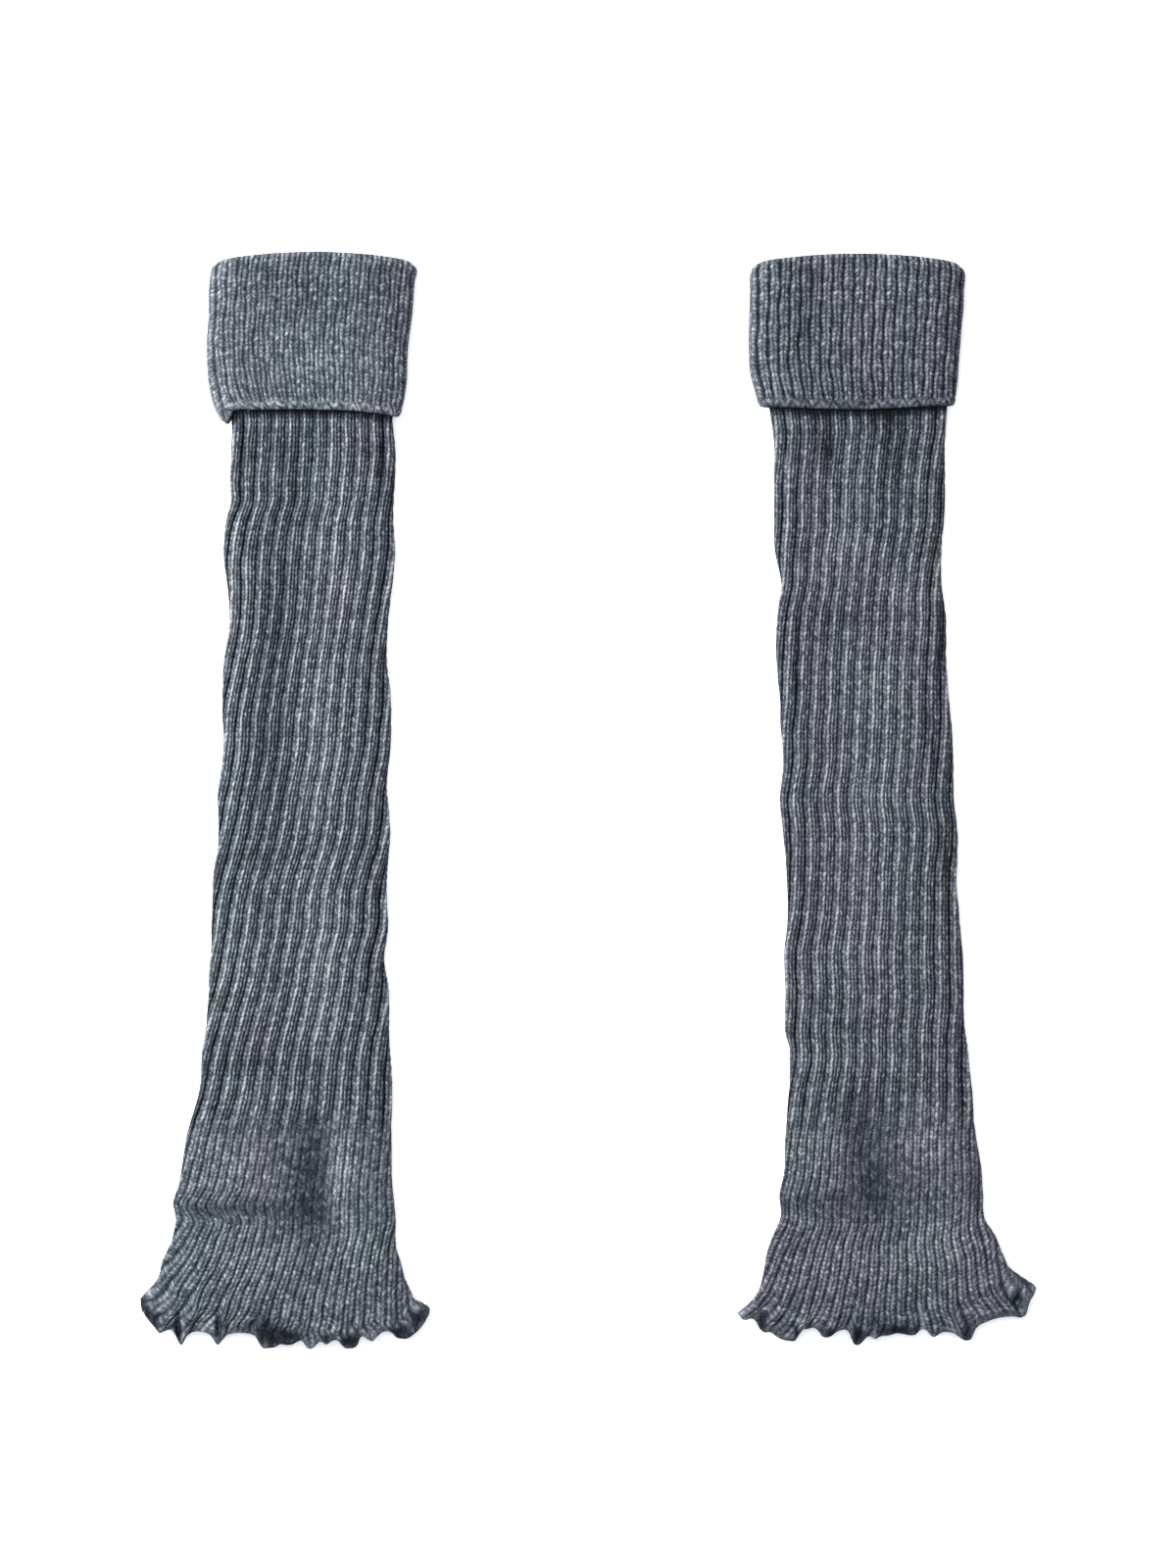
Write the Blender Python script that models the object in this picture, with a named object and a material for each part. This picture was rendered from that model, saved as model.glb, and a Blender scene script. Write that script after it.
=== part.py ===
"""A pair of knitted leg warmers, laid flat side by side.

Each leg is three pieces of knit, open all the way through and pressed flat, so that its front
layer lies on its back layer: a cuff of fine ribs turned down over the top, a long tube of wide
ribs, and a flared hem of fine ribs with a ruffled edge. +Y points to the cuffs, +Z is up, and the
legs rest on z = 0. Sizes are in millimetres and are made metres at the end.
"""

from collections import namedtuple
from math import pi

import bpy
import numpy as np

MM = 0.001

# The pair
CENTRE_LINE = 119.9  # from the middle of the pair to the centre line of each leg
CREST = 234.4  # from the middle of the pair up to the fold of the left cuff

# The cloth
WALL = 1.7  # one layer of plain knit
CAVITY = 0.4  # left between the front and back layers of a flat tube
SEAM = 0.3  # between pieces that are knitted on to each other, or that lie on each other
HEM_WALL = 1.3  # at the ruffled edge, where the knit is stretched thin
TUBE_RADIUS = WALL + CAVITY / 2
CUFF_RADIUS = TUBE_RADIUS + SEAM + WALL
TUBE_REST = WALL + SEAM  # height of the tube's underside where it lies on the cuff's back layer

# The ribs: a share of one rib, from its left edge, at each point of its profile
WIDE_RIBS = 24
WIDE_RIB_HEIGHT = 0.7
WIDE_RIB_PROFILE = ((0.25, 0.0), (0.38, 1.0), (0.62, 1.0), (0.75, 0.0))
FINE_RIB_HEIGHT = 0.5
FINE_RIB_PROFILE = ((0.0, 0.0), (0.5, 1.0))
RIBS_FADE = (-0.6, 0.3)  # ribs fade out past each side, by the sine of the way the wall faces
CUFF_RIBS = 44
HEM_RIBS = 48
UNDERSIDE_STEP = 2  # ribs between the points of a plain underside
CLEAR_OF_BEND = 1.1  # ribs from a side bend to the first of them
NEAREST_POINT = 0.12  # ribs between two points of a ring
CLOSE_KEYS = 1 / 150  # of the way round: keys this near are taken as equal

# The fold at the top of the cuff
CREST_ARCH = 3.9  # how far the fold falls from its middle to its ends
CREST_CORNER = 2.6  # how far its corners round off below that
CORNER_POWER = 24  # of the distance from the middle, for corners only at the very ends
FOLD_RADIUS = (2 * WALL + SEAM) / 2
FOLD_TURNS = (45, 90, 135, 180)  # degrees round the fold, from the front of the cuff
FOLD_DEPTH = 4.0  # from the fold down to the end of the doubled cloth
CUFF_ROWS = (0, 0.04, 0.2, 0.4, 0.6, 0.8, 0.94, 1)  # share of the way from the edge to the fold
CUFF_LINING_POINTS = 12  # across each flat of the plain inside, closer together at the corners
BEND_POINTS = 5  # in each side bend of the cuff's inside

# The tube
TUBE_TOP = FOLD_DEPTH + SEAM  # below the fold
TUBE_BOTTOM = 372.0
TUBE_HIDDEN_ROWS = (10, 30, 50)
TUBE_SHOWN_ROWS = 25
TUBE_LINING_POINTS = 9
CREST_FADES = (10, 60)  # from where to where its rows stop following the cuff's fold
CLEAR_OF_CUFF = 2.0  # the rows that show start this far above the cuff's edge
SETTLE_START = 0.5  # below the cuff's edge
SETTLE = 22.0  # the tube comes down to the surface over this length below the cuff
SWELL_START = 2.0  # the swells start here below the cuff's edge
RIB_START = (1.0, 9.0)  # below the cuff's edge: where the ribs start, and where they are full

# The hem
HEM_TOP = TUBE_BOTTOM + SEAM
HEM_ROWS = (0, 0.1, 0.25, 0.4, 0.52, 0.64, 0.75, 0.84, 0.92, 1)  # share of the way to the edge
BACK_LIFT = 0.8  # height of the back layer's waves at the edge
BACK_NOTCH = 3.0
BACK_RECESS = 4.0  # the back layer's edge lies this far inside the front layer's
RUFFLE_START = 0.72  # share of the hem's length at which the waves begin
NOTCH_ENDS = 6  # power by which the back layer's edge meets the front one's at the two sides
BAY_POWER = 3  # powers of the share of the hem's length by which its rows reach the edge's bays
BUNCH_POWER = 2  # and bunch up towards its points

# The finish
ROUGHNESS = 0.9
SHARP_ANGLE = 40  # degrees: edges bent more than this are shaded as sharp

Leg = namedtuple("Leg", "name side crest cuff_edge cuff_sides sides turns ruffles swells")


def table(columns, *rows):
    """The named columns of a table, from its rows."""
    return dict(zip(columns.split(), np.array(rows, float).T))


# Cuff sides: how far the cuff's left and right sides lie from the leg's centre line, down from the
# fold. Sides: the same for the tube, from inside the cuff, and on for the hem. Turns: how many ribs
# have passed out of sight at the left side, because the cloth is laid with a slow twist. Ruffles:
# the points of the hem's edge, how high each is lifted and how deep the bay after it is, where a
# bay below 0 stands out between its points. Swells: where the front layer stands up between folds,
# with its half width and half length.
LEGS = (
    Leg(
        name="left",
        side=-1,
        crest=0.0,
        cuff_edge=table(
            "across down",
            (0.0, 73.4),
            (0.15, 70.8),
            (0.5, 67.6),
            (1.0, 70.4),
        ),
        cuff_sides=table(
            "down left right",
            (4, -38.5, 43.5),
            (7, -40.6, 46.4),
            (12.6, -41.6, 45.8),
            (25, -42.0, 44.9),
            (42, -42.8, 42.9),
            (59, -41.6, 42.0),
            (66, -39.8, 40.6),
            (70, -37.9, 39.2),
            (73.5, -34.9, 38.9),
        ),
        sides=table(
            "down left right",
            (10, -37.8, 43.4),
            (30, -37.3, 41.8),
            (50, -35.0, 39.6),
            (66, -33.2, 37.2),
            (72, -32.5, 36.6),
            (84, -32.8, 37.7),
            (99, -32.9, 37.2),
            (107, -32.2, 36.5),
            (114, -34.1, 36.1),
            (130, -35.7, 37.0),
            (147, -34.0, 35.7),
            (160, -33.6, 34.4),
            (176, -35.3, 33.6),
            (197, -36.5, 35.7),
            (210, -36.1, 35.7),
            (231, -37.8, 33.6),
            (250, -38.2, 35.3),
            (273, -40.3, 33.2),
            (290, -41.2, 34.4),
            (303, -41.6, 32.8),
            (315, -41.9, 34.0),
            (325, -43.0, 34.9),
            (340, -44.4, 34.9),
            (361, -46.6, 35.7),
            (374, -50.4, 35.7),
            (399, -55.0, 36.1),
            (407, -57.1, 37.0),
            (412, -56.3, 37.4),
            (424, -58.4, 37.4),
            (433, -61.3, 39.5),
            (441, -65.9, 42.4),
            (446, -69.3, 45.5),
            (450.5, -72.0, 52.5),
        ),
        turns=table(
            "down ribs",
            (72, 0.0),
            (102, 0.3),
            (152, 1.05),
            (177, 1.4),
            (202, 2.0),
            (228, 2.3),
            (253, 3.05),
            (278, 3.7),
            (303, 4.2),
            (328, 5.0),
            (354, 5.6),
            (372, 6.0),
        ),
        ruffles=table(
            "across down lift notch",
            (-71.4, 449.9, 1.2, -0.5),
            (-68.6, 457.0, 1.4, -0.5),
            (-62.8, 462.7, 1.6, 2.0),
            (-54.2, 467.9, 1.8, 4.8),
            (-38.6, 467.4, 1.8, 5.2),
            (-17.7, 468.7, 1.5, 0.6),
            (-6.8, 467.9, 1.2, 3.0),
            (1.9, 469.3, 1.8, 2.8),
            (8.3, 467.4, 1.4, 3.0),
            (18.7, 468.9, 1.7, 2.7),
            (27.8, 466.2, 1.5, 4.0),
            (43.0, 465.2, 1.8, -0.5),
            (50.0, 460.0, 1.5, -0.5),
            (52.5, 451.9, 1.3, 0.0),
        ),
        swells=table(
            "across down half_width half_length height",
            (12.5, 126, 8, 35, 0.7),
            (-29, 146, 7, 28, 0.5),
            (6.5, 208, 8, 30, 0.7),
            (-31, 212, 7, 26, 0.5),
            (7.5, 300, 9, 36, 0.8),
            (-29, 303, 9, 25, 0.5),
            (-18.5, 360, 19, 7, 0.6),
            (-32, 393, 15, 12, 1.1),
            (16, 393, 7, 18, 1.3),
            (-26, 430, 20, 8, 0.9),
            (24, 428, 9, 11, 0.9),
        ),
    ),
    Leg(
        name="right",
        side=1,
        crest=0.8,
        cuff_edge=table(
            "across down",
            (0.0, 65.2),
            (0.5, 66.4),
            (1.0, 64.6),
        ),
        cuff_sides=table(
            "down left right",
            (4, -48.6, 38.8),
            (7, -49.6, 40.5),
            (16.8, -50.0, 40.7),
            (33.6, -50.4, 39.5),
            (50.4, -50.0, 38.2),
            (59, -47.9, 37.4),
            (66, -46.0, 36.4),
        ),
        sides=table(
            "down left right",
            (10, -47.2, 38.2),
            (30, -46.5, 37.2),
            (50, -44.5, 35.8),
            (62, -42.8, 34.3),
            (67, -42.0, 34.0),
            (80, -40.3, 33.2),
            (97, -39.5, 32.8),
            (113, -39.5, 32.3),
            (126, -39.5, 31.1),
            (143, -37.0, 31.9),
            (155, -38.2, 33.2),
            (176, -38.6, 33.2),
            (193, -37.4, 34.9),
            (202, -37.4, 36.1),
            (218, -35.7, 36.5),
            (235, -37.0, 36.5),
            (244, -36.1, 37.8),
            (269, -34.4, 37.8),
            (286, -34.4, 39.5),
            (298, -35.7, 40.7),
            (315, -35.3, 41.2),
            (332, -34.9, 41.4),
            (344, -32.3, 42.8),
            (361, -34.0, 44.9),
            (374, -34.9, 45.8),
            (395, -35.7, 48.7),
            (403, -37.4, 49.1),
            (412, -37.0, 49.6),
            (420, -40.3, 54.2),
            (428, -42.8, 57.5),
            (437, -44.5, 64.7),
            (442, -46.4, 71.2),
            (449, -50.5, 71.4),
            (454, -54.6, 71.4),
        ),
        turns=table(
            "down ribs",
            (76, 0.0),
            (97, 0.4),
            (122, 0.5),
            (147, 1.25),
            (172, 1.5),
            (197, 1.95),
            (223, 2.4),
            (248, 2.5),
            (273, 2.8),
            (298, 3.15),
            (323, 3.2),
            (349, 3.75),
            (372, 4.0),
        ),
        ruffles=table(
            "across down lift notch",
            (-55.0, 454.6, 1.3, 0.6),
            (-45.3, 461.6, 1.6, -0.8),
            (-31.3, 464.7, 1.8, 4.5),
            (-16.8, 463.3, 1.5, 4.6),
            (-4.2, 467.0, 1.8, 3.2),
            (3.8, 464.0, 1.3, 0.7),
            (18.4, 462.7, 1.6, 2.5),
            (27.7, 463.1, 1.6, 2.8),
            (42.3, 464.9, 1.8, 3.0),
            (65.9, 455.2, 1.6, -0.4),
            (70.2, 449.2, 1.4, -0.4),
            (71.8, 442.7, 1.2, 0.0),
        ),
        swells=table(
            "across down half_width half_length height",
            (-10.5, 126, 11, 16, 0.6),
            (20, 147, 11, 10, 0.6),
            (6.5, 181, 13, 14, 0.6),
            (2, 227, 15, 28, 0.5),
            (-2, 294, 15, 28, 0.5),
            (-10.5, 346, 15, 9, 0.6),
            (-20, 391, 12, 17, 1.1),
            (28.5, 381, 13, 12, 1.2),
            (-10, 432, 19, 8, 0.9),
            (34, 424, 14, 11, 1.1),
        ),
    ),
)


def ease(start, end, value):
    """0 before start, 1 after end, and a smooth rise between them."""
    share = np.clip((value - start) / (end - start), 0, 1)
    return share * share * (3 - 2 * share)


def read(rows, column, at, by="down"):
    """A column's value on a smooth curve through the rows of its table."""
    x, y = rows[by], rows[column]
    slope = np.gradient(y, x)
    at = np.clip(at, x[0], x[-1])
    i = np.clip(np.searchsorted(x, at) - 1, 0, len(x) - 2)
    span = x[i + 1] - x[i]
    t = (at - x[i]) / span
    start = (1 + 2 * t) * (1 - t) ** 2 * y[i] + t * (1 - t) ** 2 * span * slope[i]
    end = t * t * (3 - 2 * t) * y[i + 1] - t * t * (1 - t) * span * slope[i + 1]
    return start + end


def crest(across):
    """How far down the cuff's fold lies, at this share of the way across the leg."""
    off_middle = np.abs(2 * across - 1)
    return CREST_ARCH * off_middle**2 + CREST_CORNER * off_middle**CORNER_POWER


def turned(rise):
    """A row of the cuff's fold, this far above where the fold begins."""
    return lambda across: crest(across) + FOLD_RADIUS - rise


def cuff_edge(leg, across):
    """How far down the free edge of the turned cuff lies."""
    return read(leg.cuff_edge, "down", across, by="across")


def flat_tube(turn, width, radius):
    """The share across and the outward angle at each turn round a flattened tube, whose two flats
    are joined by half circles. A turn runs from 0 at the left side, over the front layer to 0.5 at
    the right side, and back along the underside to 1."""
    flat = width - 2 * radius
    bend = pi * radius / 2
    ends = np.cumsum([0, bend, flat, 2 * bend, flat, bend])
    along = (turn % 1) * ends[-1]
    across = np.interp(along, ends, (0, 0, 1, 1, 0, 0))
    angle = np.interp(along, ends, (pi, pi / 2, pi / 2, -pi / 2, -pi / 2, -pi))
    return across, angle


def swell(leg, x, down):
    """How far the front layer stands up between its folds: a sum of bells, one for each row of the
    table, which fall to a half at its half width or half length."""
    height = np.zeros_like(x)
    rows = leg.swells
    for row in range(len(rows["height"])):
        sideways = (x - rows["across"][row]) / rows["half_width"][row]
        lengthways = (down - rows["down"][row]) / rows["half_length"][row]
        height += rows["height"][row] * 0.5 ** (sideways**2 + lengthways**2)
    return height


def ring(leg, sides, turn, down_at, radius, inset=0.0, low=0.0, raised=0.0, lift=None, shape=None):
    """The points of one closed ring round a leg, inset from the outside of its wall, with ribs
    raised from it. down_at gives the ring's place down the leg at each share across. lift raises
    the front and back layers, and shape moves the points across."""
    left = read(sides, "left", down_at(np.array(0.0)))
    right = read(sides, "right", down_at(np.array(1.0)))
    across, angle = flat_tube(turn, right - left, radius)
    upward = np.sin(angle)
    front = (1 + upward) / 2
    down = down_at(across)
    if shape is not None:
        across, down = shape(across, down, front)
    rib_shows = ease(*RIBS_FADE, upward)
    reach = radius - inset + raised * rib_shows
    x = left + radius + across * (right - left - 2 * radius) + reach * np.cos(angle)
    z = low + radius + reach * upward
    if lift is not None:
        z = z + lift(x, down, front)
    return np.column_stack([leg.side * CENTRE_LINE + x, CREST - leg.crest - down, z])


def rib_places(count, shift, profile, width, radius):
    """Where a ring has its points, in ribs round the cloth, and how far each is raised as a share
    of a rib. The ribs of the front layer have their whole profile, the underside is plain, and each
    side bend has a point at its middle and at its foot."""
    bend = pi * radius / 2
    perimeter = 2 * (width - 2 * radius) + 4 * bend
    bend_ribs = bend / perimeter * count
    places, raised = [], []
    for rib in range(count):
        turn = ((rib + 0.5 - shift) / count) % 1
        past_side = min(abs(turn - 0.5), 1 - turn) * count
        if turn < 0.5 or past_side < bend_ribs:
            places += [rib + share for share, _ in profile]
            raised += [height for _, height in profile]
        elif rib % UNDERSIDE_STEP == 0 and past_side > bend_ribs + CLEAR_OF_BEND:
            places.append(rib + 0.5)
            raised.append(0.0)
    for turn in (0, 0.5, 0.5 + bend / perimeter, 1 - bend / perimeter):
        place = (turn * count + shift) % count
        apart = np.abs(np.array(places) - place)
        if np.minimum(apart, count - apart).min() > NEAREST_POINT:
            shares, heights = zip(*profile)
            places.append(place)
            raised.append(np.interp(place % 1, shares, heights, period=1))
    order = np.argsort(places)
    return np.array(places)[order], np.array(raised)[order]


def lining_turns(width, radius, across, bends=0):
    """Turns round a plain inner ring: at these shares across its two flats, and a few evenly round
    each side bend."""
    flat = width - 2 * radius
    bend = pi * radius / 2
    perimeter = 2 * flat + 4 * bend
    round_bend = 2 * bend * np.arange(1, bends + 1) / (bends + 1)
    front = bend + flat * across
    right = bend + flat + round_bend
    back = 3 * bend + flat + flat * across
    left = 3 * bend + 2 * flat + round_bend
    return np.concatenate([front, right, back, left]) / perimeter % 1


def bridge(points, first, first_key, second, second_key, period):
    """Triangles between two rings that may have unequal numbers of points, walking round both in
    the order of their keys, and across the shorter way where the keys are close."""
    a = np.argsort(first_key % period)
    b = np.argsort(second_key % period)
    a_keys = np.append(first_key[a] % period, first_key[a[0]] % period + period)
    b_keys = np.append(second_key[b] % period, second_key[b[0]] % period + period)
    a, b = first[np.append(a, a[0])], second[np.append(b, b[0])]
    faces = []
    i = j = 0
    while i < len(a) - 1 or j < len(b) - 1:
        if i == len(a) - 1 or j == len(b) - 1:
            walk_a = j == len(b) - 1
        elif abs(a_keys[i + 1] - b_keys[j + 1]) < period * CLOSE_KEYS:
            over_a = np.linalg.norm(points[a[i + 1]] - points[b[j]])
            walk_a = over_a <= np.linalg.norm(points[b[j + 1]] - points[a[i]])
        else:
            walk_a = a_keys[i + 1] < b_keys[j + 1]
        if walk_a:
            faces.append((a[i], b[j], a[i + 1]))
            i += 1
        else:
            faces.append((a[i], b[j], b[j + 1]))
            j += 1
    return faces


def loft(rings):
    """A closed wall through a closed row of rings. Each ring is its points, its places round the
    cloth with the number of ribs, or None on a plain ring, and its turns round the section."""
    points = np.concatenate([ring_points for ring_points, _, _, _ in rings])
    ends = np.cumsum([0] + [len(ring_points) for ring_points, _, _, _ in rings])
    faces = []
    for here in range(len(rings)):
        there = (here + 1) % len(rings)
        first = np.arange(ends[here], ends[here + 1])
        second = np.arange(ends[there], ends[there + 1])
        _, places, count, turns = rings[here]
        _, next_places, _, next_turns = rings[there]
        if places is not None and next_places is not None:
            faces += bridge(points, first, places, second, next_places, count)
        else:
            faces += bridge(points, first, turns, second, next_turns, 1)
    return points, faces


def ribbed(leg, sides, count, profile, height, shift, down_at, radius, **options):
    """A ring of the outside of a wall, with its ribs."""
    middle = down_at(np.array(0.5))
    width = read(sides, "right", middle) - read(sides, "left", middle)
    places, raised = rib_places(count, shift, profile, width, radius)
    turns = (places - shift) / count % 1
    points = ring(leg, sides, turns, down_at, radius, raised=raised * height, **options)
    return points, places, count, turns


def plain(leg, sides, across, down_at, radius, bends=0, **options):
    """A ring of the plain inside of a wall."""
    middle = down_at(np.array(0.5))
    width = read(sides, "right", middle) - read(sides, "left", middle)
    turns = lining_turns(width, radius, across, bends)
    return ring(leg, sides, turns, down_at, radius, **options), None, 0, turns


def cuff_rings(leg):
    """The cuff's rings: down the inside to its free edge, up the outside, and over the fold into
    the mouth of the leg, where the cloth is doubled for a short way."""

    def level(share):
        """A row at this share of the way from the free edge to where the fold begins."""
        return lambda across: (
            cuff_edge(leg, across) * (1 - share) + (crest(across) + FOLD_RADIUS) * share
        )

    def doubled_end(across):
        """Where the doubled cloth ends inside the mouth."""
        return crest(across) + FOLD_DEPTH

    across = (1 - np.cos(np.linspace(0, pi, CUFF_LINING_POINTS))) / 2
    inside = (leg, leg.cuff_sides, across)
    outside = (leg, leg.cuff_sides, CUFF_RIBS, FINE_RIB_PROFILE)
    rings = [
        plain(*inside, doubled_end, CUFF_RADIUS, BEND_POINTS, inset=2 * FOLD_RADIUS),
        plain(*inside, doubled_end, CUFF_RADIUS, BEND_POINTS, inset=WALL),
    ]
    for share in CUFF_ROWS[-2:0:-1]:
        rings.append(plain(*inside, level(share), CUFF_RADIUS, BEND_POINTS, inset=WALL))
    rings.append(ribbed(*outside, 0.0, 0.0, level(0), CUFF_RADIUS, inset=WALL))
    for share in CUFF_ROWS:
        rings.append(ribbed(*outside, FINE_RIB_HEIGHT, 0.0, level(share), CUFF_RADIUS))
    for degrees in FOLD_TURNS:
        angle = np.radians(degrees)
        height = FINE_RIB_HEIGHT * (1 + np.cos(angle)) / 2
        rise = FOLD_RADIUS * np.sin(angle)
        inset = FOLD_RADIUS * (1 - np.cos(angle))
        rings.append(ribbed(*outside, height, 0.0, turned(rise), CUFF_RADIUS, inset=inset))
    return rings[::-1]


def tube_rings(leg):
    """The tube's rings: down the outside from inside the cuff to the hem, and back up the inside.
    It lies on the cuff's back layer and comes down to the surface below it."""
    edge = cuff_edge(leg, 0.5)
    lowest_edge = leg.cuff_edge["down"].max()

    def level(down):
        """A row that follows the fold at the top and is straight below the cuff."""
        return lambda across: down + crest(across) * (1 - ease(*CREST_FADES, down))

    def rest(down):
        """How high the tube's underside lies."""
        settled = ease(lowest_edge + SETTLE_START, lowest_edge + SETTLE, down)
        return TUBE_REST * (1 - settled)

    def lift(x, down, front):
        out_of_cuff = ease(lowest_edge + SWELL_START, lowest_edge + SETTLE, down)
        return swell(leg, x, down) * out_of_cuff * front

    def outside(down, height, inset):
        """A ring whose points follow the ribs, which pass round the leg with the cloth's twist."""
        shift = float(read(leg.turns, "ribs", down))
        ribs = (leg, leg.sides, WIDE_RIBS, WIDE_RIB_PROFILE, height, shift)
        place = {"inset": inset, "low": rest(down), "lift": lift}
        return ribbed(*ribs, level(down), TUBE_RADIUS, **place)

    hidden = [TUBE_TOP, *TUBE_HIDDEN_ROWS]
    shown = np.linspace(edge - CLEAR_OF_CUFF, TUBE_BOTTOM, TUBE_SHOWN_ROWS)
    rows = [*hidden, *shown]
    rings = []
    for down in rows:
        ribs = ease(lowest_edge + RIB_START[0], lowest_edge + RIB_START[1], down)
        rings.append(outside(down, WIDE_RIB_HEIGHT * ribs, 0.0))
    rings.append(outside(rows[-1], 0.0, WALL))
    across = np.linspace(0, 1, TUBE_LINING_POINTS)
    for down in rows[-2:0:-1]:
        place = {"inset": WALL, "low": rest(down), "lift": lift}
        rings.append(plain(leg, leg.sides, across, level(down), TUBE_RADIUS, **place))
    rings.append(outside(rows[0], 0.0, WALL))
    return rings


def hem_rings(leg):
    """The hem's rings: down the outside from the tube to the ruffled edge, and back up the inside."""
    points = leg.ruffles
    last = len(points["across"]) - 1
    span = points["across"][-1] - points["across"][0]
    point_across = (points["across"] - points["across"][0]) / span
    flat = span - 2 * TUBE_RADIUS
    bend = pi * TUBE_RADIUS / 2
    rib = (flat + 2 * bend) / (HEM_RIBS / 2)
    half_ribs = np.round(2 * (point_across * flat + bend) / rib)
    snapped = np.clip((half_ribs * rib / 2 - bend) / flat, 0, 1)

    def tip(across):
        return np.interp(across, (0, 1), points["down"][[0, last]])

    def level(share):
        return lambda across: HEM_TOP + (tip(across) - HEM_TOP) * share

    def wave(across):
        """Which point of the edge this is, with halves in the bays between points."""
        return np.interp(across, snapped, np.arange(last + 1))

    def bay(place, column):
        return points[column][np.clip(np.floor(place).astype(int), 0, last)]

    def ruffle(share):
        """Moves a row's points towards the points and bays of the edge."""

        def shape(across, down, front):
            place = wave(across)
            bays = np.abs(np.sin(pi * place))
            front_edge = np.interp(place, range(last + 1), points["down"])
            near_middle = 1 - np.abs(2 * across - 1) ** NOTCH_ENDS
            back_edge = front_edge - (BACK_RECESS + BACK_NOTCH * (1 - bays)) * near_middle
            front_edge = front_edge - bay(place, "notch") * bays * share**BAY_POWER
            edge = front_edge * front + back_edge * (1 - front)
            stretched = np.interp(across, snapped, point_across)
            bunched = across + (stretched - across) * share**BUNCH_POWER
            return bunched, HEM_TOP + (edge - HEM_TOP) * share

        return shape

    def lift(share):
        rise = ease(RUFFLE_START, 1, share)

        def raise_layers(x, down, front):
            place = np.interp(x, points["across"], np.arange(last + 1))
            crests = (1 + np.cos(2 * pi * place)) / 2
            height = np.interp(place, range(last + 1), points["lift"])
            front_lift = swell(leg, x, down) + rise * (BACK_LIFT + height * crests)
            back_lift = rise * BACK_LIFT * (1 - crests)
            return front_lift * front + back_lift * (1 - front)

        return raise_layers

    def inset(share):
        return WALL + (HEM_WALL - WALL) * ease(RUFFLE_START, 1, share)

    def outside(share, height, inset=0.0):
        ribs = (leg, leg.sides, HEM_RIBS, FINE_RIB_PROFILE, height, 0.0)
        place = {"inset": inset, "lift": lift(share), "shape": ruffle(share)}
        return ribbed(*ribs, level(share), TUBE_RADIUS, **place)

    rings = [outside(share, FINE_RIB_HEIGHT) for share in HEM_ROWS]
    rings.append(outside(1, 0.0, inset(1)))
    across = np.linspace(0, 1, HEM_RIBS // 2 + 1)
    for share in HEM_ROWS[-2:0:-1]:
        place = {"inset": inset(share), "lift": lift(share), "shape": ruffle(share)}
        rings.append(plain(leg, leg.sides, across, level(share), TUBE_RADIUS, **place))
    rings.append(outside(0, 0.0, inset(0)))
    return rings


def knit_material(name, colour):
    """A plain matt cloth."""
    material = bpy.data.materials.new(name)
    material.use_nodes = True
    surface = material.node_tree.nodes["Principled BSDF"]
    surface.inputs["Base Color"].default_value = (*colour, 1)
    surface.inputs["Roughness"].default_value = ROUGHNESS
    surface.inputs["Metallic"].default_value = 0.0
    return material


def add_piece(collection, name, rings, material):
    """A node from its rings, in metres."""
    points, faces = loft(rings)
    mesh = bpy.data.meshes.new(name)
    mesh.from_pydata((points * MM).tolist(), [], faces)
    mesh.materials.append(material)
    mesh.shade_smooth()
    mesh.set_sharp_from_angle(angle=np.radians(SHARP_ANGLE))
    collection.objects.link(bpy.data.objects.new(name, mesh))


def make_pair():
    for thing in list(bpy.data.objects):
        bpy.data.objects.remove(thing)
    collection = bpy.data.collections.new("leg_warmers")
    bpy.context.scene.collection.children.link(collection)
    cuff_knit = knit_material("cuff_knit", (0.135, 0.160, 0.185))
    tube_knit = knit_material("tube_knit", (0.120, 0.138, 0.165))
    hem_knit = knit_material("hem_knit", (0.112, 0.132, 0.155))
    for leg in LEGS:
        add_piece(collection, leg.name + "_cuff", cuff_rings(leg), cuff_knit)
        add_piece(collection, leg.name + "_tube", tube_rings(leg), tube_knit)
        add_piece(collection, leg.name + "_hem", hem_rings(leg), hem_knit)


make_pair()
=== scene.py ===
"""A pair of knitted leg warmers, laid flat side by side and dressed in their knit.

Each leg is a tube in wide ribs, with a cuff in fine ribs turned down over its top and a flared
hem in fine ribs below. Sizes are in millimetres and are made metres as each mesh is made. A place
on a leg is given as across, from the leg's centre line, and down, from the fold of its cuff.
"""

from math import pi

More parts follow.
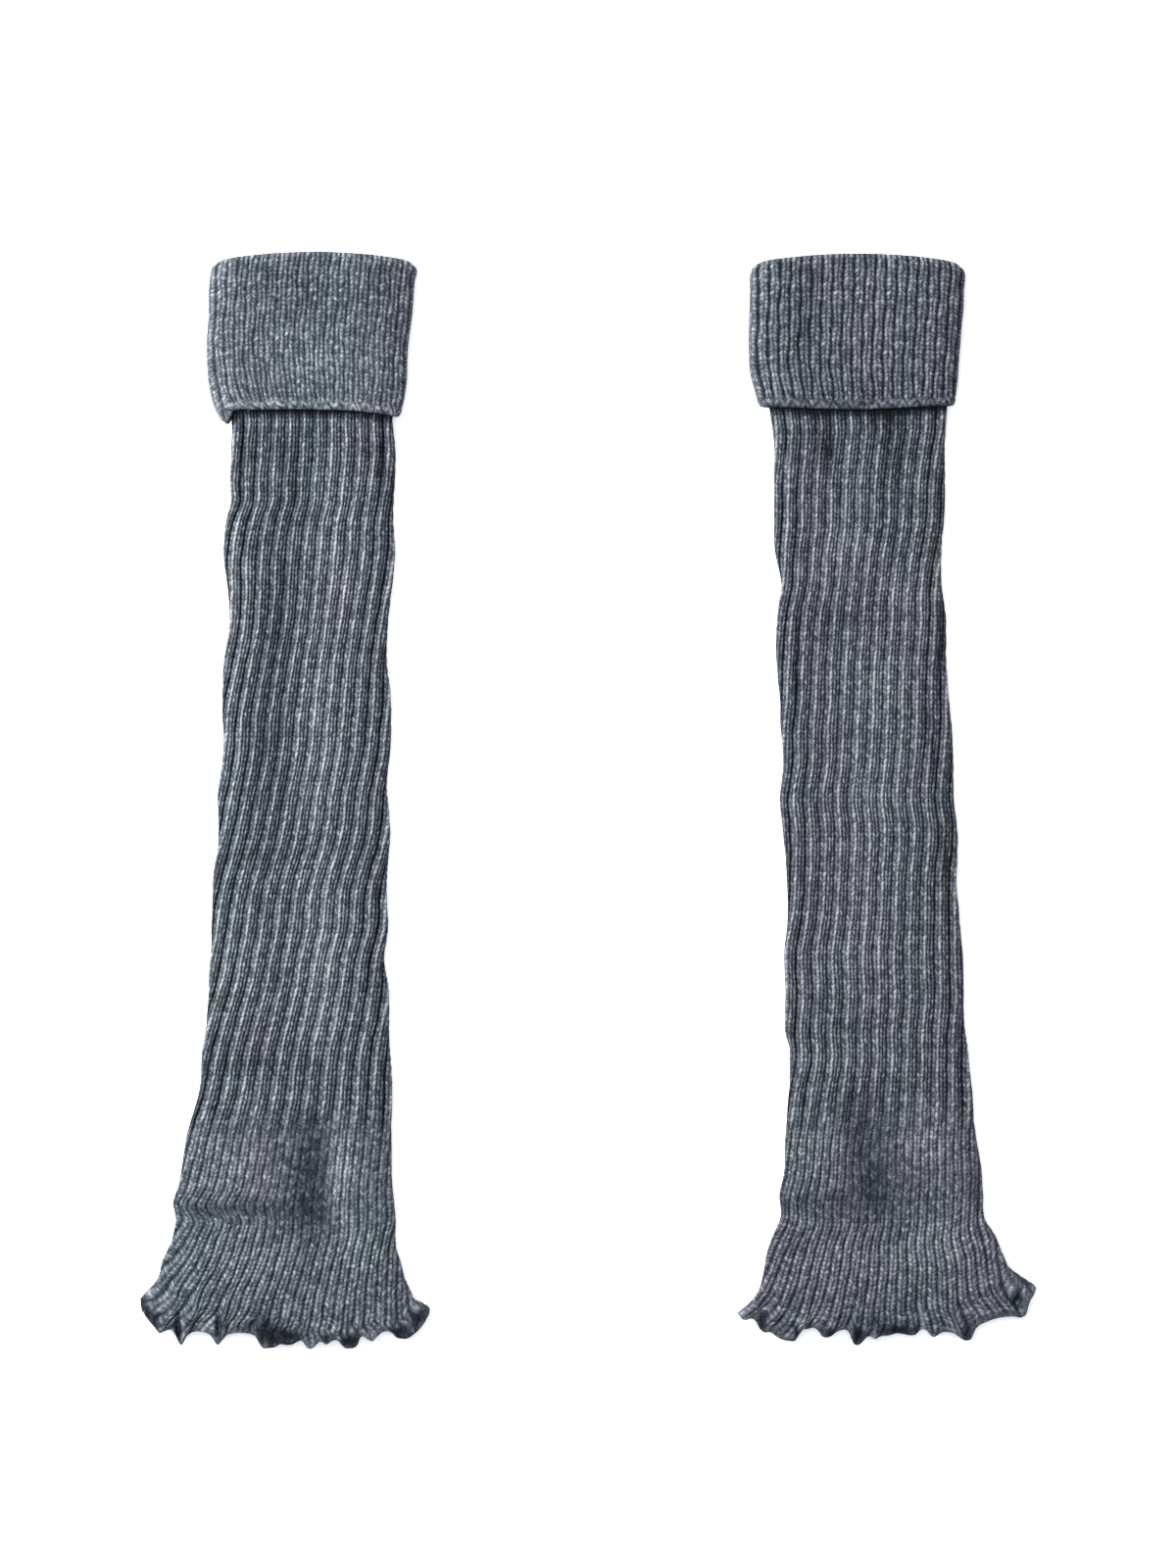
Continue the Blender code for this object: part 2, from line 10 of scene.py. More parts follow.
import bpy
import numpy as np
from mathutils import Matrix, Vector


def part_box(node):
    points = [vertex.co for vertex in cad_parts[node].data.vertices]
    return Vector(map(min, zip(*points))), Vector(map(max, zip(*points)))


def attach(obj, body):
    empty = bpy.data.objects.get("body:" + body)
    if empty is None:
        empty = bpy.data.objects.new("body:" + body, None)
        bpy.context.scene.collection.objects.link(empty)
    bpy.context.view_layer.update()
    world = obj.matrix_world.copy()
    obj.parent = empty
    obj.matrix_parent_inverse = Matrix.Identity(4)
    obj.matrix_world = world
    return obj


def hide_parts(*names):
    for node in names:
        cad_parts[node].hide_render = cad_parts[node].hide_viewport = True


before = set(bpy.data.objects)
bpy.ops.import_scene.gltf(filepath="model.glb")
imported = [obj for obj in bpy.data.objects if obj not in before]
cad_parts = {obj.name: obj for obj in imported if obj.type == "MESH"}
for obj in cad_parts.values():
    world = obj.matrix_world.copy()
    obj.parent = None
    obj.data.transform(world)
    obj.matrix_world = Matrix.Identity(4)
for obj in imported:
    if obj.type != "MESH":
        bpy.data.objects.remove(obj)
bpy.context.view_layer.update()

# -----------------------------------------------------------------------------
# The tubes. Each leg's long middle is knitted in the round in wide ribs, one proud wale and three
# sunk ones, from a heathered slate yarn. It is laid flat, front layer on back layer, with a slow
# twist that takes the ribs round to the left on their way down, and it goes up inside the cuff.

MM = 0.001
LEGS = ("left", "right")
CENTRE_LINE = {"left": -119.9, "right": 119.9}

RADIUS = 1.9  # half the thickness of the two layers
CLOTH = 1.1  # thickness of one layer
SOFT_RADIUS = 2.5  # the sides droop as if they bent by this radius
DROOP = 0.5  # how far they sink, in radii
DROOP_WIDTH = 3.0  # and how far in from the side they do, in radii
CUFF_LAYER = 2.0  # height of the cuff's back layer, which the tube lies on

WIDE_RIBS = 24  # all round
WALES = 4  # in one wide rib
WALE_COLUMNS = 4  # columns of the mesh in one wale
COURSE = 2.1  # length of one row of knitting
COURSE_ROWS = 3  # rows of the mesh in one row of knitting
UNDER_COLUMNS = 22  # over the underside, which rests flat
SIDE_CROWDING = 0.8  # how much closer together these are at the sides

# Where the four wales of a wide rib meet, in shares of the rib: a low wale, the shoulder, the proud
# wale and another low one. Two wales make one fine rib: the middle two, and the last and the first.
WIDE_WALES = (-0.14, 0.10, 0.36, 0.64, 0.86)
FINE_WALES = (-0.14, 0.11, 0.36, 0.61, 0.86)

FINE_RIDGE = 0.6  # how far a fine rib stands out of its furrows
FINE_POWER = 0.6  # makes its crest broader than its furrows
YARN = 0.45  # how far the yarn of a proud wale stands out of the gaps beside it
SUNK_YARN = 0.3  # and that of a sunk one
GAP_BEADS = 0.4  # height of the yarn between two stitches, in shares of a stitch's
PLAIN_YARN = 0.5  # and of yarn whose stitches are lost in a fold
STITCH_SLANT = 0.6  # of a course, from the middle of a pair of wales to its borders
STRAY = 0.1  # how far the wales wander to either side
STRAY_WAVES = ((4.7, 0.8), (2.3, -1.7))  # millimetres to a radian, and radians to a wale
RIBS_FADE = (-0.6, 0.4)  # ribs fade out at the sides, by the sine of the way they face
STITCHES_FADE = (-0.2, 0.7)  # stitches a little before them
BOUND_FADE = (-0.6, 0.3)  # and bound-off edges a little after
FOLD_PAINTED_SHADE = 0.6  # how much a fold's height is painted into the yarn's tone, as painted shade and light, against the knit's own relief

HIDDEN_ROWS = (4.3, 10, 30, 50)  # rows inside the cuff, below its fold
CREST_ARCH = 3.9  # how far the fold falls from its middle to its ends
CREST_CORNER = 2.6  # how far its corners round off below that
CORNER_POWER = 24  # high, for corners only at the very ends
CREST_FADES = (10, 60)  # where the tube's rows stop following the fold
RELIEF = {"left": 1.0, "right": 0.88}  # the right leg is stretched a little flatter
PALER = {"left": 0.3, "right": 0.395}  # and how much paler each leg's tube is
TUBE_PLAIN = 0.1  # how far stitches and ribs are lost in a tube
SLACK_PLAIN = 0.5  # and where it passes into the slack top of the hem
SLACK_LEFT = 0.4  # share of that which is left at the left side
SLACK_PLACE = 0.35  # share of the width over which it gets full
SLACK_START = {"left": 8.0, "right": 20.0}  # this far above the hem
PLAIN_RELIEF = 0.6  # how much of the relief goes where the stitches are lost
UNDER_CUFF = 1.7  # how much darker the yarn is where the cuff's edge shades it
UNDER_CUFF_LENGTH = 5.0
TUCKED = 5.0  # how far the knit's full rows start above the cuff's edge
PRESSED = 0.55  # share of the relief that the tube has under the cuff's edge
PRESSED_LENGTH = 8.0  # length over which the rest comes back below it
SETTLE_START = 0.5  # how far below the cuff's edge the tube starts to come down
FOLDS_START = 1.0  # and its folds start
SETTLE = 22.0  # and where it lies on the surface
RIB_BLEND = {"left": 9.0, "right": 5.0}  # length over which fine ribs take over below the tube
LINING_ROWS = 8


def table(columns, *rows):
    """The named columns of a table, from its rows."""
    return dict(zip(columns.split(), np.array(rows, float).T))


def by_leg(columns, **rows):
    """A table for each leg, with the same columns."""
    return {leg: table(columns, *rows[leg]) for leg in LEGS}


FURROW = 1.0  # how many wales from a rib's left its furrow lies
SIDE_FURROW = 0.6  # how much deeper it is where the cloth bends round
SIDE_SHARES = (0.05, 0.22)  # shares of the width over which that fades, from either side

# What stands up and sinks on a wide rib, by how many wales it lies from the rib's left: a low wale,
# the furrow, the shoulder, the proud wale and the low one on its right.
WIDE_RIB = table(
    "middle height half_width",
    (0.5, 0.05, 0.45),
    (FURROW, -0.4, 0.32),
    (1.6, -0.05, 0.45),
    (2.48, 0.78, 0.56),
    (3.55, 0.26, 0.42),
    (4.0, -0.1, 0.3),
)

TUBE_SIDES = by_leg(
    "down left right",
    left=(
        (10, -37.8, 43.4), (30, -37.3, 41.8), (50, -35.0, 39.6), (66, -33.2, 37.2),
        (72, -32.5, 36.6), (84, -32.8, 37.7), (99, -32.9, 37.2), (107, -32.2, 36.5),
        (114, -34.1, 36.1), (130, -35.7, 37.0), (147, -34.0, 35.7), (160, -33.6, 34.4),
        (176, -35.3, 33.6), (197, -36.5, 35.7), (210, -36.1, 35.7), (231, -37.8, 33.6),
        (250, -38.2, 35.3), (273, -40.3, 33.2), (290, -41.2, 34.4), (303, -41.6, 32.8),
        (315, -41.9, 34.0), (325, -43.0, 34.9), (340, -44.4, 34.9), (361, -46.6, 35.7),
        (374, -50.4, 35.7), (399, -55.0, 36.1), (407, -57.1, 37.0), (412, -56.3, 37.4),
        (424, -58.4, 37.4), (433, -62.3, 39.6), (441, -64.9, 42.2), (445.5, -69.3, 44.2),
        (448, -71.5, 45.5), (450, -71.7, 50.0), (452, -71.7, 52.7),
    ),
    right=(
        (10, -47.2, 38.2), (30, -46.5, 37.2), (50, -44.5, 35.8), (62, -42.8, 34.3),
        (67, -42.0, 34.0), (80, -40.3, 33.2), (97, -39.5, 32.8), (113, -39.5, 32.3),
        (126, -39.5, 31.1), (143, -37.0, 31.9), (155, -38.2, 33.2), (176, -38.6, 33.2),
        (193, -37.4, 34.9), (202, -37.4, 36.1), (218, -35.7, 36.5), (235, -37.0, 36.5),
        (244, -36.1, 37.8), (269, -34.4, 37.8), (286, -34.4, 39.5), (298, -35.7, 40.7),
        (315, -35.3, 41.2), (332, -34.9, 41.4), (344, -32.3, 42.8), (361, -34.0, 44.9),
        (374, -34.9, 45.8), (395, -35.7, 48.7), (403, -37.4, 49.1), (412, -37.0, 49.6),
        (420, -40.3, 54.2), (428, -42.8, 57.4), (434.5, -43.9, 61.3), (438, -44.7, 66.2),
        (442, -45.9, 71.8), (447, -48.7, 71.8), (450.5, -52.1, 71.8), (453.2, -55.7, 71.8),
    ),
)

# How many ribs have passed out of sight at the left side.
TURNS = by_leg(
    "down ribs",
    left=(
        (72, 0.0), (102, 0.3), (152, 1.05), (177, 1.4), (202, 2.0), (228, 2.3), (253, 3.05),
        (278, 3.7), (303, 4.2), (328, 5.0), (354, 5.6), (372, 5.7), (385, 5.8), (405, 6.05),
        (418, 6.15), (427, 6.35), (448, 7.0), (470, 7.7),
    ),
    right=(
        (76, 0.0), (97, 0.4), (122, 0.5), (147, 1.25), (172, 1.5), (197, 1.95), (223, 2.4),
        (248, 2.5), (273, 2.8), (298, 3.15), (323, 3.2), (349, 3.75), (372, 4.0), (385, 4.2),
        (406, 4.4), (427, 4.6), (448, 5.0), (470, 5.5),
    ),
)

# Folds of the front layer: ridges stand up and troughs, with a height below 0, sink.
# Near the cuff's edge the tube isn't yet free to fold, so the folds there are painted shade alone.
# Their height is also painted into the yarn's tone: painted shade in troughs, painted light on
# ridges.
FOLDS = by_leg(
    "across down half_width half_length height",
    left=(
        (12.5, 126, 8, 35, 0.5), (-29, 146, 7, 28, 0.3), (6.5, 208, 8, 30, 0.6),
        (-31, 212, 7, 26, 0.3), (7.5, 300, 9, 36, 0.7), (-29, 303, 9, 25, 0.4),
        (-18.5, 360, 19, 7, 0.3), (-32, 393, 15, 12, 0.7), (16, 393, 7, 18, 0.9),
        (12.5, 393, 3.5, 14, 0.5), (-26, 430, 20, 8, 0.4), (24, 428, 9, 11, 0.6),
        (-4, 95, 6, 24, -0.5), (-13, 150, 6, 24, -0.6), (-18, 208, 7, 30, -0.5),
        (-21, 257, 22, 3, -0.4), (-19, 348, 24, 3, -0.6), (2, 394, 7, 22, -1.25),
        (6.5, 396, 3.5, 14, -0.5), (-24, 410.5, 28, 2.6, -0.9), (2, 417, 10, 6, -0.4),
        (34, 441, 7, 12, -0.4), (-29, 91, 1.3, 17, -1.3), (34, 88, 1.5, 18, -0.9),
    ),
    right=(
        (-10.5, 126, 11, 16, 0.4), (20, 147, 11, 10, 0.3), (6.5, 181, 13, 14, 0.4),
        (2, 227, 15, 28, 0.4), (-2, 294, 15, 28, 0.4), (-10.5, 346, 15, 9, 0.3),
        (-20, 391, 12, 17, 0.6), (28.5, 381, 13, 12, 0.8), (-10, 432, 19, 8, 0.5),
        (34, 424, 14, 11, 0.8), (-17.6, 78, 4, 14, -0.9), (11.8, 84, 4, 18, -0.8),
        (10, 69, 7, 4, -1.6), (-24, 67, 5, 3, -1.4), (-12, 156, 17, 5, -0.4),
        (-10, 330.5, 14, 2.5, -0.4), (-5, 365, 6, 12, -0.6), (1, 384, 6, 12, -0.7),
        (5, 402, 7, 11, -0.8), (-17, 406, 18, 5, -0.6), (-31.5, 179, 1.2, 22, -0.9),
        (33, 166, 1.2, 10, -0.8), (29.6, 206, 1.3, 14, -1.0), (35, 251, 1.3, 14, -0.8),
    ),
)


def follow(rows, column, at, by="down"):
    """A column's value on a smooth curve through the rows of its table: a cubic between each two
    rows, whose slope at a row is that of the line through its neighbours."""
    x, y = rows[by], rows[column]
    slope = np.gradient(y, x)
    at = np.clip(at, x[0], x[-1])
    i = np.clip(np.searchsorted(x, at) - 1, 0, len(x) - 2)
    span = x[i + 1] - x[i]
    t = (at - x[i]) / span
    start = (1 + 2 * t) * (1 - t) ** 2 * y[i] + t * (1 - t) ** 2 * span * slope[i]
    end = t * t * (3 - 2 * t) * y[i + 1] - t * t * (1 - t) * span * slope[i + 1]
    return start + end


def ease(start, end, value):
    """0 before start, 1 after end, and a smooth rise between them."""
    share = np.clip((value - start) / (end - start), 0, 1)
    return share * share * (3 - 2 * share)


def bump(distance):
    """A smooth bell, 1 at distance 0 and 0.37 at distance 1: e to the minus distance squared."""
    return np.exp(-(distance**2))


def bells(rows, column, x, down, rim=np.exp(-1)):
    """The sum of a column of a table, each row of it under a bell round its place: rim, which is
    what it falls to at its half width or half length, to the power of the squared distance."""
    total = 0.0
    for row in range(len(rows[column])):
        sideways = (x - rows["across"][row]) / rows["half_width"][row]
        lengthways = (down - rows["down"][row]) / rows["half_length"][row]
        total = total + rows[column][row] * rim ** (sideways**2 + lengthways**2)
    return total


def flat_ring(turn, width, radius):
    """The share across and the outward angle at each turn round a flattened tube, whose two flats
    are joined by half circles. A turn runs from 0 at the left side, over the front layer to 0.5 at
    the right side, and back along the underside to 1. The share rises along the front flat and
    falls along the back one, and the angle falls by half a circle at each side."""
    flat = width - 2 * radius
    bend = pi * radius / 2
    along = (turn % 1) * (2 * flat + 4 * bend)
    front = np.clip((along - bend) / flat, 0, 1)
    right = np.clip((along - bend - flat) / (2 * bend), 0, 1)
    back = np.clip((along - 3 * bend - flat) / flat, 0, 1)
    ends = np.clip(along / bend, 0, 1) + np.clip((along - 3 * bend - 2 * flat) / bend, 0, 1)
    return front - back, pi - pi * right - pi / 2 * ends


def from_left(across, angle, width, radius):
    """How far a point of a flattened tube is from its left side, as a share of its whole width."""
    return (radius * (1 + np.cos(angle)) + across * (width - 2 * radius)) / width


def droop(place, angle, width, radius):
    """How far the front layer sinks towards its two sides, where place is the share of the whole
    width from the left side: most at the side, and nothing from three radii inwards."""
    from_side = np.minimum(place, 1 - place) * width
    near = 1 - ease(0, DROOP_WIDTH * radius, from_side)
    return DROOP * radius * near * np.clip(np.sin(angle), 0, 1)


def laid(leg, turn, left, right, down, low, radius, reach, lift):
    """Points of a flattened tube that lies with its underside at height low. reach is how far the
    surface is from the middle of the tube's thickness, and lift raises it. x is the share across
    between the two sides plus reach times the cosine of the outward angle, and z is low plus the
    radius plus reach times its sine."""
    across, angle = flat_ring(turn, right - left, radius)
    x = left + radius + across * (right - left - 2 * radius) + reach * np.cos(angle)
    z = low + radius + reach * np.sin(angle) + lift
    return np.stack([CENTRE_LINE[leg] + x, fold_of[leg] - down + 0 * x, z], axis=-1)


def rib_columns(shift, ribs, wale_ends, under=UNDER_COLUMNS):
    """Turn round the leg and number of the wale at each column of each row, for ribs that have
    shifted to the left by this many. The front's columns keep to their wales while these pass
    round, so column c of the front stands at rib (c / columns in a rib + shift). The underside's
    columns are spread over it, closer together at the sides."""
    wales = len(wale_ends) - 1
    per_rib = wales * WALE_COLUMNS
    front = ribs // 2 * per_rib
    seat = (np.arange(front + under) - per_rib * shift) % (front + under)
    places = np.interp(np.arange(per_rib + 1) / WALE_COLUMNS, range(wales + 1), wale_ends)

    def rib_at(seat):
        column = seat + per_rib * shift
        return np.floor(column / per_rib) + np.interp(column % per_rib, range(per_rib + 1), places)

    share_under = np.clip((seat - front) / under, 0, 1)
    spaced = share_under - SIDE_CROWDING * np.sin(2 * pi * share_under) / (2 * pi)
    first = (rib_at(np.float64(0)) - shift) / ribs
    last = (rib_at(np.float64(front)) - shift) / ribs
    turn = np.where(seat < front, (rib_at(seat) - shift) / ribs, last + (1 + first - last) * spaced)
    wale = seat / per_rib + shift + spaced * (ribs / 2 - under / per_rib)
    return turn, wale * wales


def stitches(wale, course, slant):
    """Height of the yarn, from 0 in the gaps between wales to 1 on a stitch. Each wale is a rope,
    half a sine across, with a bead to each row of knitting. Beads slant down to the middle of each
    pair of wales, which lies where the wale's number is even."""
    off_middle = np.abs((wale + 1) % 2 - 1)
    bead = np.abs(np.sin(pi * (course + slant * off_middle)))
    return np.abs(np.sin(pi * wale)) * (GAP_BEADS + (1 - GAP_BEADS) * bead)


def wide_profile(wale, place):
    """Height over a wide rib: a sum of bells, one for each row of its table. The furrow is deeper
    near the two sides, where place is close to 0 or 1."""
    height = 0.0
    for middle, high, half_width in zip(*WIDE_RIB.values()):
        if middle == FURROW:
            high = high - SIDE_FURROW * (1 - ease(*SIDE_SHARES, np.minimum(place, 1 - place)))
        from_middle = (wale - middle + WALES / 2) % WALES - WALES / 2
        height = height + high * bump(from_middle / half_width)
    return height


def fine_profile(wale):
    """Height over a fine rib, from 0 in its furrows to 1 at the middle of its pair of wales: a
    power of a raised cosine."""
    return (0.5 + 0.5 * np.cos(pi * wale)) ** FINE_POWER


def yarn_on(base, proud, upward, wale, course, slant=STITCH_SLANT):
    """Height of a knit whose ribs make this base: stitches are higher where it is proud, and fade
    out over the sides, as the ribs do a little further round. upward is 1 where the knit faces up
    and 0 at a side."""
    yarn = SUNK_YARN + (YARN - SUNK_YARN) * np.clip(proud, 0, 1)
    yarn = stitches(wale, course, slant) * yarn
    return base * ease(*RIBS_FADE, upward) + yarn * ease(*STITCHES_FADE, upward)


def stray(wale, down):
    """How far a wale wanders to the right: two sines along it, out of step from wale to wale."""
    return STRAY * sum(np.sin(down / length + wale * step) for length, step in STRAY_WAVES)


def slackness(place):
    """How far stitches and ribs are lost where tube and hem meet: less so near the left side."""
    return SLACK_PLAIN * (SLACK_LEFT + (1 - SLACK_LEFT) * ease(0, SLACK_PLACE, place))


def crest(across):
    """How far down the fold at the top of the cuff lies, at this share of the way across: a shallow
    arch, squared from the middle, and corners, a high power of it."""
    off_middle = np.abs(2 * across - 1)
    return CREST_ARCH * off_middle**2 + CREST_CORNER * off_middle**CORNER_POWER


def folds(leg, x, down):
    """Height of the front layer's folds, each of which falls to a half at its half width."""
    return bells(FOLDS[leg], "height", x, down, rim=0.5)


def knit_mesh(name, parts, wales_round, material, open_seams=()):
    """A closed mesh from rows of points that go round the leg, and from its outside over its end
    and back along its inside. parts are (points, wale, course, depth, plain) arrays, one row of the
    mesh to a row. The knit's map counts wales and rows of knitting, depth is kept for the shade and
    light painted into the yarn's colour, and plain says how far its stitches are lost, from 0 to 1.
    The second map opens the whole piece flat once: column across and row along, from 0 to 1."""
    rows, count = sum(len(part[0]) for part in parts), parts[0][0].shape[1]
    shapes = [part[0].shape[:2] for part in parts]
    points = np.concatenate([part[0] for part in parts])
    wale, course, depth, plain = (
        np.concatenate([np.broadcast_to(part[i], shape) for part, shape in zip(parts, shapes)])
        for i in range(1, 5)
    )
    number = np.arange(rows * count).reshape(rows, count)
    below = np.roll(number, -1, axis=0)
    faces = np.stack([number, below, np.roll(below, -1, axis=1), np.roll(number, -1, axis=1)], -1)
    corners = wale.reshape(-1)[faces]
    corners = corners + wales_round * np.round((corners[..., :1] - corners) / wales_round)
    knit = np.stack([corners, course.reshape(-1)[faces]], axis=-1)
    row, column = np.divmod(number[..., None], count)
    opened = np.stack([(column + [0, 0, 1, 1]) / count, (row + [0, 1, 1, 0]) / rows], axis=-1)

    mesh = bpy.data.meshes.new(name)
    mesh.vertices.add(rows * count)
    mesh.vertices.foreach_set("co", (points * MM).astype(np.float32).ravel())
    mesh.loops.add(faces.size)
    mesh.loops.foreach_set("vertex_index", faces.astype(np.int32).ravel())
    mesh.polygons.add(rows * count)
    mesh.polygons.foreach_set("loop_start", np.arange(0, faces.size, 4, dtype=np.int32))
    mesh.update(calc_edges=True)
    mesh.validate()
    for map_name, places in (("knit", knit), ("OFBake", opened)):
        layer = mesh.uv_layers.new(name=map_name)
        layer.uv.foreach_set("vector", places.astype(np.float32).ravel())
    for kept_name, kept in (("depth", depth), ("plain", plain)):
        attribute = mesh.attributes.new(kept_name, "FLOAT", "POINT")
        attribute.data.foreach_set("value", kept.astype(np.float32).ravel())

    ends = np.empty(len(mesh.edges) * 2, np.int32)
    mesh.edges.foreach_get("vertices", ends)
    ring = ends.reshape(-1, 2) // count
    sharp = mesh.attributes.new("sharp_edge", "BOOLEAN", "EDGE")
    sharp.data.foreach_set("value", (ring[:, 0] == ring[:, 1]) & np.isin(ring[:, 0], open_seams))
    mesh.materials.append(material)
    piece = bpy.data.objects.new(name, mesh)
    bpy.context.scene.collection.objects.link(piece)
    return piece


def settings(node, **values):
    """Sets inputs of a node by name, with _ for a space."""
    for name, value in values.items():
        node.inputs[name.replace("_", " ")].default_value = value


def calc(tree, operation, *values):
    """A Math node's output, from sockets and numbers."""
    step = tree.nodes.new("ShaderNodeMath")
    step.operation = operation
    for socket, value in zip(step.inputs, values):
        if isinstance(value, (int, float)):
            socket.default_value = value
        else:
            tree.links.new(value, socket)
    return step.outputs[0]


def tinted(tree, share, colour, tint):
    """A Mix node, which multiplies a colour by this share of a tint."""
    step = tree.nodes.new("ShaderNodeMix")
    step.data_type = "RGBA"
    step.blend_type = "MULTIPLY"
    tree.links.new(share, step.inputs[0])
    tree.links.new(colour, step.inputs[6])
    step.inputs[7].default_value = tint
    return step.outputs[2]


def spread(tree, value, low, high, most=1.0, clamp=True):
    """A Map Range node: value from low to high becomes 0 to most, and no further if clamped."""
    step = tree.nodes.new("ShaderNodeMapRange")
    step.clamp = clamp
    for socket, number in zip(step.inputs[1:5], (low, high, 0.0, most)):
        socket.default_value = number
    tree.links.new(value, step.inputs[0])
    return step.outputs[0]


def noise(tree, place, scale, detail=2.0):
    """A Noise texture's value, with this many lumps to each unit of place."""
    step = tree.nodes.new("ShaderNodeTexNoise")
    settings(step, Scale=scale, Detail=detail)
    tree.links.new(place, step.inputs["Vector"])
    return step.outputs["Fac"]


def ramp(tree, value, *stops):
    """A Color Ramp node, from (place, colour) stops."""
    step = tree.nodes.new("ShaderNodeValToRGB")
    points = step.color_ramp.elements
    for _ in stops[2:]:
        points.new(0.5)
    for point, (place, colour) in zip(points, stops):
        point.position = place
        point.color = (*colour, 1)
    tree.links.new(value, step.inputs[0])
    return step.outputs[0]


TWISTS = 3  # turns of the yarn's twist in one row of knitting
TWIST_BUMP = 0.06  # its height, and that of the fibres, in shares of a stitch's
FIBRE_BUMP = 0.5
FIBRE_BUMPS = 2600.0  # lumps to a metre
BUMP_STRENGTH = 0.9
BUMP_HEIGHT = 0.3
STRANDS = 2.2  # lumps across a wale
FIBRES = 1100.0  # lumps to a metre
STITCH_PAINTED_SHADE = 0.32  # how far the yarn's tone rises over a stitch, and over the range of depth: painted shade in the gaps and hollows, painted light on the crests
DEPTH_SHADE_AND_TONE = 0.5
CHANCE_TONE = 0.25  # how far it differs by stitch, strand and fibre
STRAND_TONE = 0.55
FIBRE_TONE = 0.65
DRIFT_LUMPS = (34.0, 9.0, 1.0)  # lumps to a metre, of the patches where the yarn is tinted
DRIFT_TO_RIGHT = 0.5  # and how much more mauve they get over a metre to the right
MOST_TINT = 0.85
TINTS = (  # from which drift to which one, and the tint
    (0.52, 0.7, (1.05, 0.93, 1.0, 1)),
    (0.5, 0.3, (0.95, 1.03, 1.0, 1)),
)


def knit_material(name, tones, depths, slant=STITCH_SLANT):
    """Heathered yarn on a knit's own map, which counts wales across and rows of knitting along. The
    stitches follow the same formula as the mesh, and the bump adds their twist and fibres. The
    yarn's tone rises from the gaps to the crests and with the depth attribute, as painted shade in
    the gaps and hollows and painted light on the crests, and each stitch has a tone of its own."""
    material = bpy.data.materials.new(name)
    material.use_nodes = True
    tree = material.node_tree
    surface = tree.nodes["Principled BSDF"]

    uv = tree.nodes.new("ShaderNodeUVMap")
    uv.uv_map = "knit"
    apart = tree.nodes.new("ShaderNodeSeparateXYZ")
    tree.links.new(uv.outputs[0], apart.inputs[0])
    wale, course = apart.outputs[0], apart.outputs[1]
    place = tree.nodes.new("ShaderNodeTexCoord").outputs["Object"]
    relief = tree.nodes.new("ShaderNodeAttribute")
    relief.attribute_name = "depth"
    plain = tree.nodes.new("ShaderNodeAttribute")
    plain.attribute_name = "plain"

    off_middle = calc(tree, "PINGPONG", wale, 1.0)
    rope = calc(tree, "ABSOLUTE", calc(tree, "SINE", calc(tree, "MULTIPLY", wale, pi)))
    along = calc(tree, "MULTIPLY_ADD", off_middle, slant, course)
    bead = calc(tree, "ABSOLUTE", calc(tree, "SINE", calc(tree, "MULTIPLY", along, pi)))
    bead = calc(tree, "MULTIPLY_ADD", bead, 1 - GAP_BEADS, GAP_BEADS)
    stitch = calc(tree, "MULTIPLY", rope, bead)
    to_plain = calc(tree, "SUBTRACT", PLAIN_YARN, stitch)
    stitch = calc(tree, "MULTIPLY_ADD", to_plain, plain.outputs["Fac"], stitch)

    fibre = noise(tree, place, FIBRE_BUMPS, 3.0)
    twist = calc(tree, "SINE", calc(tree, "MULTIPLY", along, TWISTS * 2 * pi))
    height = calc(tree, "MULTIPLY_ADD", fibre, FIBRE_BUMP, stitch)
    height = calc(tree, "MULTIPLY_ADD", twist, TWIST_BUMP, height)
    ridge = tree.nodes.new("ShaderNodeBump")
    settings(ridge, Strength=BUMP_STRENGTH, Distance=BUMP_HEIGHT * MM)
    tree.links.new(height, ridge.inputs["Height"])
    tree.links.new(ridge.outputs[0], surface.inputs["Normal"])

    cell = tree.nodes.new("ShaderNodeCombineXYZ")
    tree.links.new(calc(tree, "FLOOR", wale), cell.inputs[0])
    tree.links.new(calc(tree, "FLOOR", along), cell.inputs[1])
    chance = tree.nodes.new("ShaderNodeTexWhiteNoise")
    chance.noise_dimensions = "2D"
    tree.links.new(cell.outputs[0], chance.inputs["Vector"])
    depth = spread(tree, relief.outputs["Fac"], *depths, clamp=False)
    strand = tree.nodes.new("ShaderNodeCombineXYZ")
    tree.links.new(calc(tree, "MULTIPLY", wale, STRANDS), strand.inputs[0])
    tree.links.new(along, strand.inputs[1])
    tone = calc(tree, "MULTIPLY", depth, DEPTH_SHADE_AND_TONE)
    tone = calc(tree, "MULTIPLY_ADD", stitch, STITCH_PAINTED_SHADE, tone)
    for value, weight in (
        (chance.outputs["Value"], CHANCE_TONE),
        (noise(tree, strand.outputs[0], 1.0), STRAND_TONE),
        (noise(tree, place, FIBRES), FIBRE_TONE),
    ):
        tone = calc(tree, "MULTIPLY_ADD", calc(tree, "SUBTRACT", value, 0.5), weight, tone)
    shade = ramp(tree, tone, *tones)

    lengthways = tree.nodes.new("ShaderNodeMapping")
    settings(lengthways, Scale=DRIFT_LUMPS)
    tree.links.new(place, lengthways.inputs["Vector"])
    to_right = tree.nodes.new("ShaderNodeSeparateXYZ")
    tree.links.new(place, to_right.inputs[0])
    drift = noise(tree, lengthways.outputs[0], 1.0, 1.0)
    drift = calc(tree, "MULTIPLY_ADD", to_right.outputs[0], DRIFT_TO_RIGHT, drift)
    for start, full, tint in TINTS:
        shade = tinted(tree, spread(tree, drift, start, full, MOST_TINT), shade, tint)
    tree.links.new(shade, surface.inputs["Base Color"])

    settings(surface, Roughness=0.8, Specular_IOR_Level=0.08)
    settings(surface, Sheen_Weight=0.03, Sheen_Roughness=0.5)
    return material


